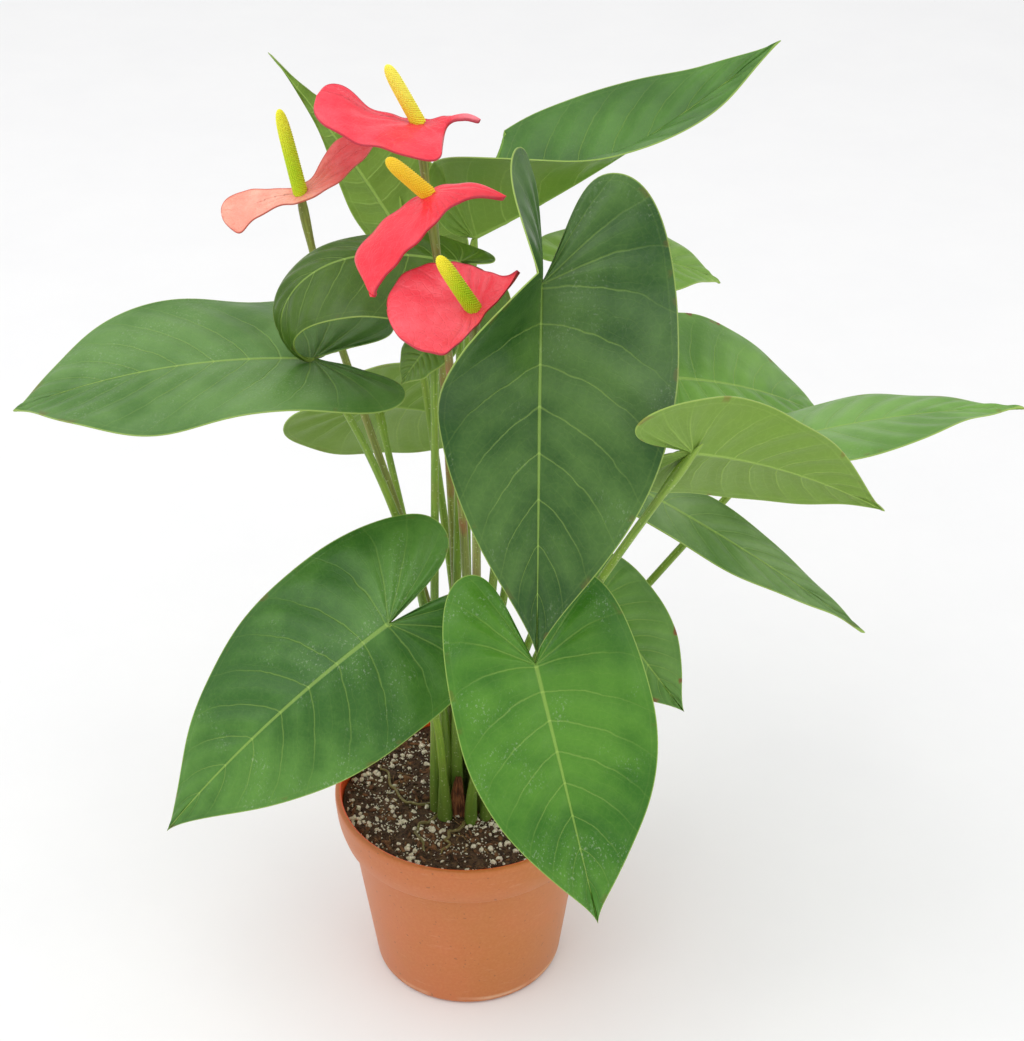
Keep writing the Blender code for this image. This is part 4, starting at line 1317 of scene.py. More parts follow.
@dataclass(frozen=True)
class Ground:
    """Where the plant stands, from the solids of its crown.

    Args:
        clearance: gap between solids that touch.
        foot_swell: radius of a stalk's foot, as a share of its radius.
        sheath_room: from the crown stems out to the outer stalks, past the sheaths.
    """

    clearance: float = 0.0003
    foot_swell: float = 1.05
    sheath_room: float = 0.0020

    def level(self) -> float:
        """Height of the mix round the crown."""
        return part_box("crown_stem_1")[0].z - self.clearance

    def stem(self, number: int) -> tuple[Array, float]:
        """Middle of a crown stem's foot, and its height.

        Args:
            number: which one, from 0.

        Returns:
            The middle and the height.
        """
        low, high = (np.array(corner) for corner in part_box(f"crown_stem_{number + 1}"))
        middle = (low + high) / 2
        return np.array([middle[0], middle[1], low[2]]), high[2] - low[2]

    def ring(self, radius: float) -> float:
        """Radius of the circle on which three round things stand just clear of each other."""
        return (2 * radius + 2 * self.clearance) / math.sqrt(3)

    def foot(self, stalk: Stalk) -> tuple[Array, float]:
        """Where a stalk's solid starts, and how far that is above the mix.

        Args:
            stalk: how it rises.

        Returns:
            The point and the height.
        """
        angle = math.radians(stalk.bearing)
        heading = np.array([math.cos(angle), math.sin(angle), 0.0])
        top_ring = self.ring(self.foot_swell * stalk.radius)
        if stalk.stem is not None:
            base, height = self.stem(stalk.stem)
            rise = height + self.clearance
            return base + heading * top_ring + np.array([0, 0, rise]), rise
        thick = top_ring + 1.2 * stalk.radius
        outer = self.ring(thick) + thick + self.sheath_room + self.foot_swell * stalk.radius
        return heading * outer + np.array([0, 0, self.level()]), 0.0


class StalkTube:
    """A stalk with a thick foot that runs down into the mix, and a knee under its blade.

    Args:
        stalk: how it rises.
        spot: where it meets its blade.
        up: the way the blade faces there.
        ground: where it stands.
        heel: how much thicker its foot is, as a share of its radius.
    """

    STEPS = 64
    SINK = 0.003

    def __init__(self, stalk: Stalk, spot: Array, up: Array, ground: Ground, heel: float) -> None:
        """Lay the path from inside the mix to just inside the blade.

        Args:
            stalk: how it rises.
            spot: where it ends.
            up: the way the blade faces there.
            ground: where it stands.
            heel: how much thicker its foot is, as a share of its radius.
        """
        start, above = ground.foot(stalk)
        end = np.asarray(spot) - up * 0.00015
        arrive = unit(stalk.arrive)
        span = np.linalg.norm(end - start)
        curve = (start, start + np.array([0, 0, 1.0]) * span * stalk.rise, end - arrive * span * stalk.reach, end)
        shares = np.linspace(0, 1, self.STEPS + 1)
        rise = bezier(curve, shares)
        drop = above + self.SINK
        lean = np.array([start[0], start[1], 0.0]) * (0.12 if above else 0.0)
        depths = np.linspace(1, 0, 10)[:-1]
        root = np.array([start - np.array([0, 0, drop]) * d + lean * d for d in depths])
        self.path = np.concatenate([root, rise])
        knee = 0.26 * ease(shares, 0.90, 0.955) - 0.42 * ease(shares, 0.975, 1.0)
        radii = 1.0 - 0.22 * shares + knee + heel * (1 - ease(shares, 0.0, 0.20))
        low = radii[0] * (1.0 - 0.10 * depths)
        self.radii = stalk.radius * np.concatenate([low, radii])
        self.cut_low = (self.path[0], np.array([0, 0, 1.0]))
        self.cut_high = (end, up)

    def build(self, name: str, finish: bpy.types.Material) -> bpy.types.Object:
        """The stalk as an object."""
        return Tube(self.path, self.radii, 16, self.cut_low, self.cut_high).build(name, finish)


# ---------------------------------------------------------------- what repeats
class Tree:
    """A Geometry Nodes tree that makes what repeats on a carrier.

    Args:
        name: the tree's name.
        kinds: the kind of socket of each named input.
    """

    def __init__(self, name: str, kinds: dict[str, str]) -> None:
        """Start the tree with its inputs.

        Args:
            name: the tree's name.
            kinds: the kind of socket of each named input.
        """
        self.tree = bpy.data.node_groups.new(name, "GeometryNodeTree")
        face = self.tree.interface
        face.new_socket("Geometry", in_out="INPUT", socket_type="NodeSocketGeometry")
        self.sockets = {key: face.new_socket(key, in_out="INPUT", socket_type=f"NodeSocket{kind}").identifier
                        for key, kind in kinds.items()}
        face.new_socket("Geometry", in_out="OUTPUT", socket_type="NodeSocketGeometry")
        self.graph = Graph(self.tree)
        self.given = self.graph.node("NodeGroupInput")

    def close(self, geometry: Value) -> None:
        """Give the geometry its material and make it the tree's output.

        Args:
            geometry: what the tree has made.
        """
        inputs = {"Geometry": geometry, "Material": self.given.other("Finish")}
        done = self.graph.node("GeometryNodeSetMaterial", None, inputs)
        end = self.tree.nodes.new("NodeGroupOutput")
        self.tree.links.new(done.socket, end.inputs[0])

    def grow(self, name: str, carrier: bpy.types.Object, finish: bpy.types.Material,
             amounts: dict[str, Any]) -> bpy.types.Object:
        """Run the tree on a carrier.

        Args:
            name: the new piece's name.
            carrier: the object it starts from.
            finish: the material of what is made.
            amounts: the tree's other inputs by name.

        Returns:
            What the tree makes, as one mesh object.
        """
        added = carrier.modifiers.new(name, "NODES")
        added.node_group = self.tree
        for key, value in (amounts | {"Finish": finish}).items():
            added[self.sockets[key]] = value
        return plain(name, carrier, added, finish)


class Scatter(Tree):
    """Loose grains spread over a surface by Geometry Nodes.

    Args:
        name: the tree's name.
    """

    def __init__(self, name: str) -> None:
        """Build the tree once; its inputs give each kind of grain.

        Args:
            name: name of the map or object.
        """
        super().__init__(name, {"Density": "Float", "Seed": "Int", "Least": "Vector", "Most": "Vector",
                                "Lumps": "Float", "Pitch": "Float", "Tilt": "Float", "Finish": "Material"})
        graph, given = self.graph, self.given
        where = graph.node("GeometryNodeInputPosition")
        drift = graph.node("ShaderNodeTexNoise", {"noise_dimensions": "4D"},
                           {"Vector": where, "W": given.other("Seed") * 1.0, "Scale": 110.0, "Detail": 2.0})
        crowding = given.other("Density") * (0.3 + drift.ease(0.42, 0.66) * 1.6)
        spots = graph.node("GeometryNodeDistributePointsOnFaces", None,
                           {"Mesh": given, "Density": crowding, "Seed": given.other("Seed")})
        grain = graph.node("GeometryNodeMeshUVSphere", None, {"Segments": 8, "Rings": 6, "Radius": 0.5})
        vector = {"data_type": "FLOAT_VECTOR"}
        size = graph.node("FunctionNodeRandomValue", vector,
                          {0: given.other("Least"), 1: given.other("Most"), "Seed": given.other("Seed")})
        tilt = given.other("Tilt")
        low = graph.node("ShaderNodeCombineXYZ", None, {0: tilt * -1, 1: tilt * -1, 2: -3.14})
        high = graph.node("ShaderNodeCombineXYZ", None, {0: tilt, 1: tilt, 2: 3.14})
        spin = graph.node("FunctionNodeRandomValue", vector, {0: low, 1: high, "Seed": given.other("Seed") + 5})
        laid = graph.node("GeometryNodeInstanceOnPoints", None,
                          {"Points": spots, "Instance": grain, "Rotation": spin, "Scale": size})
        real = graph.node("GeometryNodeRealizeInstances", None, {"Geometry": laid})
        noise = graph.node("ShaderNodeTexNoise", None,
                           {"Vector": where, "Scale": given.other("Pitch"), "Detail": 1.0}, "Color")
        centred = graph.node("ShaderNodeVectorMath", {"operation": "SUBTRACT"}, {0: noise, 1: (0.5, 0.5, 0.5)})
        push = graph.node("ShaderNodeVectorMath", {"operation": "SCALE"}, {0: centred, "Scale": given.other("Lumps")})
        self.close(graph.node("GeometryNodeSetPosition", None, {"Geometry": real, "Offset": push}))


def plain(name: str, carrier: bpy.types.Object, added: bpy.types.Modifier,
          finish: bpy.types.Material) -> bpy.types.Object:
    """Turn what a modifier makes of its carrier into a plain mesh object.

    Args:
        name: the new object's name.
        carrier: the object that holds the modifier.
        added: the modifier, which is removed.
        finish: the material of the new mesh.

    Returns:
        The new object.
    """
    bpy.context.view_layer.update()
    graph = bpy.context.evaluated_depsgraph_get()
    mesh = bpy.data.meshes.new_from_object(carrier.evaluated_get(graph), depsgraph=graph)
    carrier.modifiers.remove(added)
    mesh.name = name
    mesh.materials.clear()
    mesh.materials.append(finish)
    mesh.shade_smooth()
    made = bpy.data.objects.new(name, mesh)
    bpy.context.scene.collection.objects.link(made)
    return made


class Bumps(Tree):
    """A rod covered in spiralling low bumps, the closed florets of a spadix, by Geometry Nodes."""

    GOLDEN = math.pi * (3 - math.sqrt(5))

    def __init__(self) -> None:
        """Build the tree: golden-angle steps up the rod, a bump on each."""
        super().__init__("floret spiral", {"Count": "Int", "Length": "Float", "Radius": "Float",
                                           "Taper": "Float", "Floret": "Float", "Finish": "Material"})
        graph, given = self.graph, self.given
        index = graph.node("GeometryNodeInputIndex")
        share = index / given.other("Count")
        angle = index * self.GOLDEN
        reach = given.other("Radius") * (1 - given.other("Taper") * share) * ((1 - share**9.0) ** 0.5)
        spot = graph.node("ShaderNodeCombineXYZ", None,
                          {0: angle.cosine() * reach, 1: angle.sine() * reach, 2: share * given.other("Length")})
        cloud = graph.node("GeometryNodePoints", None, {"Count": given.other("Count"), "Position": spot})
        bump = graph.node("GeometryNodeMeshUVSphere", None, {"Segments": 6, "Rings": 5, "Radius": 1.0})
        scale = given.other("Floret") * (1 - 0.25 * share)
        spin = graph.node("ShaderNodeCombineXYZ", None, {2: angle})
        laid = graph.node("GeometryNodeInstanceOnPoints", None,
                          {"Points": cloud, "Instance": bump, "Rotation": spin, "Scale": scale})
        real = graph.node("GeometryNodeRealizeInstances", None, {"Geometry": laid})
        both = self.tree.nodes.new("GeometryNodeJoinGeometry")
        self.tree.links.new(real.socket, both.inputs[0])
        self.tree.links.new(given.socket, both.inputs[0])
        self.close(Value(graph, both.outputs[0]))

    def cover(self, name: str, foot: Array, top: Array, radius: float, taper: float, pitch: float,
              finish: bpy.types.Material) -> bpy.types.Object:
        """Cover a rod from foot to top.

        Args:
            name: the new piece's name.
            foot: where the rod starts.
            top: where it ends.
            radius: its radius at the foot.
            taper: share of that lost at the top.
            pitch: distance from floret to floret.
            finish: its material.

        Returns:
            The rod with its florets, and the stored height "up".
        """
        length = float(np.linalg.norm(top - foot))
        rows = np.linspace(0, 1, 33)
        radii = radius * (1 - taper * rows) * np.sqrt(np.maximum(0.02, 1 - rows**9)) * 0.97
        core = Tube(np.array([(0, 0, length * r * 0.985) for r in rows]), radii, 20).build(name + "_core", finish)
        count = int(2 * math.pi * radius * length / pitch**2)
        amounts = {"Count": count, "Length": length * 0.985, "Radius": radius * 0.94, "Taper": taper,
                   "Floret": pitch * 0.52}
        made = self.grow(name, core, finish, amounts)
        bpy.data.objects.remove(core, do_unlink=True)
        store(made, "up", [v.co.z / length for v in made.data.vertices])
        aim = Vector(top - foot).to_track_quat("Z", "Y").to_matrix().to_4x4()
        aim.translation = Vector(foot)
        made.data.transform(aim)
        return made


# ---------------------------------------------------------------- pot
def fillets(corners: list[tuple[float, float, float]], steps: int = 6) -> list[Pair]:
    """A profile with rounded corners.

    Args:
        corners: radius, height and rounding of each corner.
        steps: points along each rounding.

    Returns:
        The points of the profile.
    """
    path: list[Pair] = []
    for k, (x, z, rounding) in enumerate(corners):
        spot = np.array([x, z])
        if rounding == 0 or k in (0, len(corners) - 1):
            path.append((x, z))
            continue
        back = unit(np.array(corners[k - 1][:2]) - spot) * rounding
        ahead = unit(np.array(corners[k + 1][:2]) - spot) * rounding
        for t in np.linspace(0, 1, steps):
            path.append(tuple(spot + back * (1 - t) ** 2 + ahead * t * t))
    return path


@dataclass
class Pot:
    """A thin round nursery pot with a wide band under its rim and drain holes in its floor.

    Args:
        band_depth: height of the wider band.
        band_taper: how much narrower its foot is than the rim.
        band_step: how far its foot stands out past the wall.
        base_radius: of the underside.
        wall: thickness of the sides.
        floor: thickness of the bottom.
        drains: how many drain holes there are.
        drain_radius: their radius.
        drain_circle: radius of the circle they stand on.
        segments: points round the pot.
        finish: its material.
    """

    band_depth: float = 0.0210
    band_taper: float = 0.0033
    band_step: float = 0.0035
    base_radius: float = 0.0433
    wall: float = 0.0018
    floor: float = 0.0022
    drains: int = 6
    drain_radius: float = 0.0042
    drain_circle: float = 0.0290
    segments: int = 176
    finish: PotFinish = PotFinish("terracotta plastic")

    def __post_init__(self) -> None:
        """Take the height and the rim from the solid."""
        low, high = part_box("pot")
        self.height, self.rim = high.z, (high.x - low.x) / 2

    def wall_radius(self, height: float) -> float:
        """Outer radius of the wall below the band."""
        foot = self.height - self.band_depth
        return self.base_radius + (self.rim - self.band_taper - self.band_step - self.base_radius) * height / foot

    def inside(self, height: float) -> float:
        """Inner radius at a height.

        Args:
            height: above the underside.

        Returns:
            The radius.
        """
        foot = self.height - self.band_depth
        if height < foot + self.wall:
            return self.wall_radius(height) - self.wall
        return self.rim - self.wall - self.band_taper * (self.height - height) / self.band_depth

    def profile(self) -> list[Pair]:
        """Outline from the middle of the underside, up the outside and down the inside.

        Returns:
            Radius and height of each point.
        """
        foot, top, rim = self.height - self.band_depth, self.height, self.rim
        mid = rim - 0.25 * self.band_taper
        outside = [
            (0.0, 0.0008, 0), (self.drain_circle * 0.45, 0.0008, 0.0006), (self.drain_circle * 0.5, 0.0, 0.0006),
            (self.base_radius, 0.0, 0.0028), (self.wall_radius(foot * 0.5), foot * 0.5, 0.0),
            (self.wall_radius(foot), foot, 0.0008),
            (rim - self.band_taper, foot + 0.0002, 0.0012), (mid, foot + 0.4 * self.band_depth, 0.004),
            (rim - 0.0002, top - 0.0050, 0.0015), (rim, top - 0.0030, 0.0010), (rim - 0.0002, top, 0.0013),
        ]
        inner = rim - 1.6 * self.wall
        inside = [
            (inner, top, 0.0010), (inner - 0.0003, top - 0.004, 0.0010),
            (mid - self.wall, foot + 0.4 * self.band_depth, 0.004),
            (rim - self.band_taper - self.wall, foot + 1.3 * self.wall, 0.001),
            (self.wall_radius(foot) - self.wall, foot + self.wall, 0.001),
            (self.base_radius - self.wall, self.floor, 0.0028), (0.0, self.floor, 0),
        ]
        return fillets(outside + inside)

    def build(self) -> bpy.types.Object:
        """Turn the profile about the middle and cut the drain holes.

        Returns:
            The object.
        """
        profile = np.array(self.profile())
        angles = np.arange(self.segments) * 2 * math.pi / self.segments
        inner = profile[1:-1]
        rings = np.stack([inner[:, 0:1] * np.cos(angles), inner[:, 0:1] * np.sin(angles),
                          np.repeat(inner[:, 1:2], self.segments, axis=1)], axis=-1)
        points = np.concatenate([rings.reshape(-1, 3), [(0, 0, profile[0, 1]), (0, 0, profile[-1, 1])]])
        faces, n = [], self.segments
        for i in range(len(inner) - 1):
            faces += [(i * n + k, i * n + (k + 1) % n, (i + 1) * n + (k + 1) % n, (i + 1) * n + k) for k in range(n)]
        last = len(points) - 1
        end = (len(inner) - 1) * n
        faces += [(last - 1, (k + 1) % n, k) for k in range(n)]
        faces += [(last, end + k, end + (k + 1) % n) for k in range(n)]
        material = self.finish.material()
        blank = piece("pot_blank", points, faces, material, 35.0)
        drill = self._drill(material)
        cut = blank.modifiers.new("drain holes", "BOOLEAN")
        cut.operation, cut.solver, cut.object = "DIFFERENCE", "EXACT", drill
        made = plain("pot_shell", blank, cut, material)
        for helper in (blank, drill):
            bpy.data.objects.remove(helper, do_unlink=True)
        made.data.set_sharp_from_angle(angle=math.radians(35))
        places = np.array([v.co for v in made.data.vertices])
        normals = np.array([v.normal for v in made.data.vertices])
        outward = places * (1, 1, 0) / np.maximum(np.linalg.norm(places[:, :2], axis=1), 1e-6)[:, None]
        facing = (normals * outward).sum(axis=1)
        # inner marks the inner wall, where the finish paints light shining through the plastic
        store(made, "inner", ease(-facing, -0.1, 0.6))
        return settle(made, "pot", "pot")

    def _drill(self, material: bpy.types.Material) -> bpy.types.Object:
        """Round pegs where the drain holes go.

        Args:
            material: a material to fill the slot.

        Returns:
            The pegs as one object.
        """
        points, faces, sides = [], [], 28
        for number in range(self.drains):
            turned = 2 * math.pi * number / self.drains
            x, y = self.drain_circle * math.cos(turned), self.drain_circle * math.sin(turned)
            first = len(points)
            for z in (-0.003, 0.006):
                points += [(x + self.drain_radius * math.cos(a), y + self.drain_radius * math.sin(a), z)
                           for a in np.arange(sides) * 2 * math.pi / sides]
            faces += [(first + k, first + (k + 1) % sides, first + sides + (k + 1) % sides, first + sides + k)
                      for k in range(sides)]
            faces += [tuple(range(first + sides - 1, first - 1, -1)), tuple(range(first + sides, first + 2 * sides))]
        return piece("pot_drill", np.array(points), faces, material)


# ---------------------------------------------------------------- potting mix
@dataclass
class PottingMix:
    """Dark loose mix with perlite, bark, crumbs and straw on it.

    Args:
        pot: the pot that holds it.
        flat_radius: the mix is level this far out.
        uneven: height of the broad lumps.
        rings: rings of points over its surface.
        segments: points on each ring.
        soil: its finish.
    """

    pot: Pot
    flat_radius: float = 0.022
    uneven: float = 0.0016
    rings: int = 84
    segments: int = 220
    soil: GrainFinish = GrainFinish("potting mix", 0.0, srgb(38, 27, 20), srgb(104, 78, 56), 0.0035, 0.0008)

    def height(self, x: Array, y: Array) -> Array:
        """Height of the mix at a place.

        Args:
            x: across, in metres.
            y: away, in metres.

        Returns:
            The height.
        """
        reach = np.hypot(x, y)
        rough = np.clip((reach - self.flat_radius) / (0.4 * self.flat_radius), 0, 1)
        lumps = np.sin(190 * x + 0.6) * np.cos(160 * y) + 0.6 * np.sin(310 * y + 120 * x)
        spots = np.stack([x, y, 0 * x], axis=-1)
        clods = ((0.00045, 0.005, 1.0), (0.00035, 0.0022, 2.0), (0.0002, 0.0011, 3.0))
        fine = sum(high * swell(spots, pitch, seed) for high, pitch, seed in clods)
        return Ground().level() + self.uneven * rough * (lumps * 0.45 - 0.25) + fine

    def build(self) -> None:
        """The lumpy surface with its hidden body, then what lies on it."""
        level = Ground().level()
        edge = self.pot.inside(level) - 0.0003
        angles = np.arange(self.segments) * 2 * math.pi / self.segments
        reaches = edge * np.linspace(0.012, 1, self.rings) ** 0.8
        x, y = reaches[:, None] * np.cos(angles), reaches[:, None] * np.sin(angles)
        top = np.stack([x, y, self.height(x, y)], axis=-1).reshape(-1, 3)
        steps = [(self.pot.inside(h) - 0.0004, h) for h in (level - 0.006, level - 0.0085, level - 0.014, 0.02)]
        steps += [(self.pot.base_radius - self.pot.wall - 0.0025, self.pot.floor + 0.0005)]
        sides = np.array([(r * math.cos(a), r * math.sin(a), h) for r, h in steps for a in angles])
        low = steps[-1][1]
        points = np.concatenate([top, sides, [(0, 0, self.height(np.zeros(1), np.zeros(1))[0]), (0, 0, low)]])
        n, total = self.segments, self.rings + len(steps)
        faces = [(i * n + k, (i + 1) * n + k, (i + 1) * n + (k + 1) % n, i * n + (k + 1) % n)
                 for i in range(total - 1) for k in range(n)]
        centre = len(points) - 2
        cap = [(centre, k, (k + 1) % n) for k in range(n)]
        floor = [(centre + 1, (total - 1) * n + (k + 1) % n, (total - 1) * n + k) for k in range(n)]
        mix = piece("soil_mix", points, faces + cap + floor, self.soil.material(), 30.0)
        settle(mix, "soil", "soil")
        carrier = piece("mix_surface", points[:centre + 1], faces[:n * (self.rings - 4)], self.soil.material())
        self._litter(carrier)
        bpy.data.objects.remove(carrier, do_unlink=True)

    def _litter(self, carrier: bpy.types.Object) -> None:
        """Spread each kind of grain over the surface.

        Args:
            carrier: the surface that the grains lie on.
        """
        scatter = Scatter("grains")
        kinds = (
            (GrainFinish("perlite", 1.0, srgb(190, 178, 150), srgb(248, 240, 220), 0.0012, 0.0003, 0.8),
             36000.0, 3, (0.0014, 0.0012, 0.0009), (0.0038, 0.0032, 0.0026), 0.0016, 620.0, 1.2),
            (GrainFinish("perlite_dust", 6.0, srgb(196, 186, 162), srgb(246, 240, 222), 0.0008, 0.0002, 0.8),
             210000.0, 23, (0.0004, 0.0004, 0.0003), (0.0013, 0.0012, 0.0010), 0.0005, 1500.0, 1.5),
            (GrainFinish("bark_chips", 2.0, srgb(60, 38, 26), srgb(140, 98, 64), 0.002, 0.0005),
             32000.0, 7, (0.0020, 0.0012, 0.0006), (0.0066, 0.0030, 0.0018), 0.0014, 420.0, 0.5),
            (GrainFinish("crumbs", 3.0, srgb(34, 24, 18), srgb(104, 78, 58), 0.001, 0.0003),
             240000.0, 11, (0.0007, 0.0006, 0.0005), (0.0024, 0.0020, 0.0015), 0.0010, 900.0, 1.5),
            (GrainFinish("straw", 4.0, srgb(96, 70, 44), srgb(176, 142, 96), 0.001, 0.0002),
             16000.0, 13, (0.0040, 0.00030, 0.00030), (0.0100, 0.0006, 0.0006), 0.0030, 160.0, 0.3),
        )
        amounts = ("Density", "Seed", "Least", "Most", "Lumps", "Pitch", "Tilt")
        for finish, *values in kinds:
            grains = scatter.grow(finish.name, carrier, finish.material(), dict(zip(amounts, values)))
            settle(grains, "soil")


# ---------------------------------------------------------------- crown
@dataclass
class Crown:
    """Short stems, papery sheaths and surface roots where the plant stands in the mix.

    Args:
        ground: where it stands.
        mix: the potting mix, which the roots follow.
        roots: start and end reach, start and end bearing of each root.
        root_radius: radius of a root's solid where it starts.
        bearings: compass angle of each sheath.
    """

    ground: Ground
    mix: PottingMix
    roots: tuple = ((0.0188, 0.0480, 192.0, 146.0), (0.0188, 0.0400, 218.0, 240.0), (0.0188, 0.0380, 262.0, 248.0))
    root_radius: float = 0.0011
    bearings: tuple = (92.0, 168.0, 255.0)

    def build(self) -> None:
        """Each stem, sheath and root."""
        for number in range(3):
            self._stem(number)
            self._sheath(number)
            self._root(number)

    def _stem(self, number: int) -> None:
        """A stub with ring scars that the inner stalks wrap.

        Args:
            number: which one, from 0.
        """
        base, height = self.ground.stem(number)
        rows = np.linspace(0, 1, 44)
        lean = np.array([math.cos(number * 2.1), math.sin(number * 2.1), 0]) * 0.0006
        path = [base + np.array([0, 0, (height + 0.002) * r - 0.002]) + lean * math.sin(3 * r) for r in rows]
        rings = 0.00022 * np.cos(rows * 26 + number) ** 6
        radii = 0.0036 - 0.0006 * rows + rings - 0.0018 * ease(rows, 0.86, 1.0)
        skin = (srgb(104, 128, 52), srgb(66, 82, 34), srgb(120, 84, 50), 0.5, 0.0)
        finish = StalkFinish("crown stem", 20.0 + number, *skin)
        made = Tube(path, radii, 24).build(f"crown_stub_{number + 1}", finish.material())
        settle(made, "crown_stem", f"crown_stem_{number + 1}")

    def _sheath(self, number: int) -> None:
        """A split papery scale with a ragged top.

        Args:
            number: which one, from 0.
        """
        low, high = (np.array(c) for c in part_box(f"sheath_{number + 1}"))
        reach = self.ground.ring(self.ground.ring(0.0021) + 0.0024) + self.ground.ring(0.0021) + 0.0024 + 0.0013
        middle = math.radians(self.bearings[number])
        across, upward = np.linspace(-1, 1, 23), np.linspace(0, 1, 35)
        u, v = np.meshgrid(across, upward)
        spread = math.radians(17) * np.sqrt(1 - 0.9 * v**1.5)
        ragged = 1 - 0.05 * np.abs(np.sin(u * 9 + number)) * ease(v, 0.6, 1)
        angle = middle + spread * u + 0.03 * np.sin(5 * v + number)
        spots = np.stack([np.cos(angle), np.sin(angle), 0 * u], axis=-1)
        reach = reach + 0.0004 * np.sin(v * 7 + u * 2 + number) * ease(v, 0.1, 0.5)
        points = spots * reach[..., None]
        points[..., 2] = low[2] - 0.0015 + (high[2] - low[2] + 0.0015) * v * ragged
        bulge = 0.00018 * np.sin(u * 16) + 0.0002 * swell(points, 0.004, 2.0 + number)
        skins = [points + spots * (bulge + side)[..., None] for side in (-0.00025, 0.00025)]
        finish = HuskFinish("papery sheath", 30.0 + number)
        made = piece(f"papery_sheath_{number + 1}", *shell(skins[0], skins[1]), finish.material())
        settle(made, "sheath", f"sheath_{number + 1}")

    def _root(self, number: int) -> None:
        """A thin root that lies in bends on the mix.

        Args:
            number: which one, from 0.
        """
        near, far, first, last = self.roots[number]
        share = np.linspace(0, 1, 70)
        reach = near + (far - near) * share
        wiggle = 5.0 * np.sin(7.0 * share + number) + 1.6 * np.sin(23 * share + 2 * number) * ease(share, 0.05, 0.3)
        angle = np.radians(first + (last - first) * share**1.3 + wiggle)
        x, y = reach * np.cos(angle), reach * np.sin(angle)
        lift = 0.0005 + 0.0009 * np.sin(9 * share + number) ** 2 * ease(share, 0, 0.2) * (1 - ease(share, 0.8, 1.0))
        z = self.mix.height(x, y) + lift - 0.0030 * ease(share, 0.93, 1.0)
        knots = 1 + 0.10 * np.sin(31 * share) * np.sin(12 * share + number)
        radii = 0.8 * self.root_radius * (1 - 0.45 * share) * knots
        path = np.stack([x, y, z], axis=-1)
        path[0] *= (0.9, 0.9, 1)
        finish = StalkFinish("root", 40.0 + number, srgb(134, 124, 70), srgb(84, 76, 42), srgb(120, 92, 56), 0.6, 0.0)
        made = Tube(path, radii, 12).build(f"surface_root_{number + 1}", finish.material())
        settle(made, "root", f"root_{number + 1}")


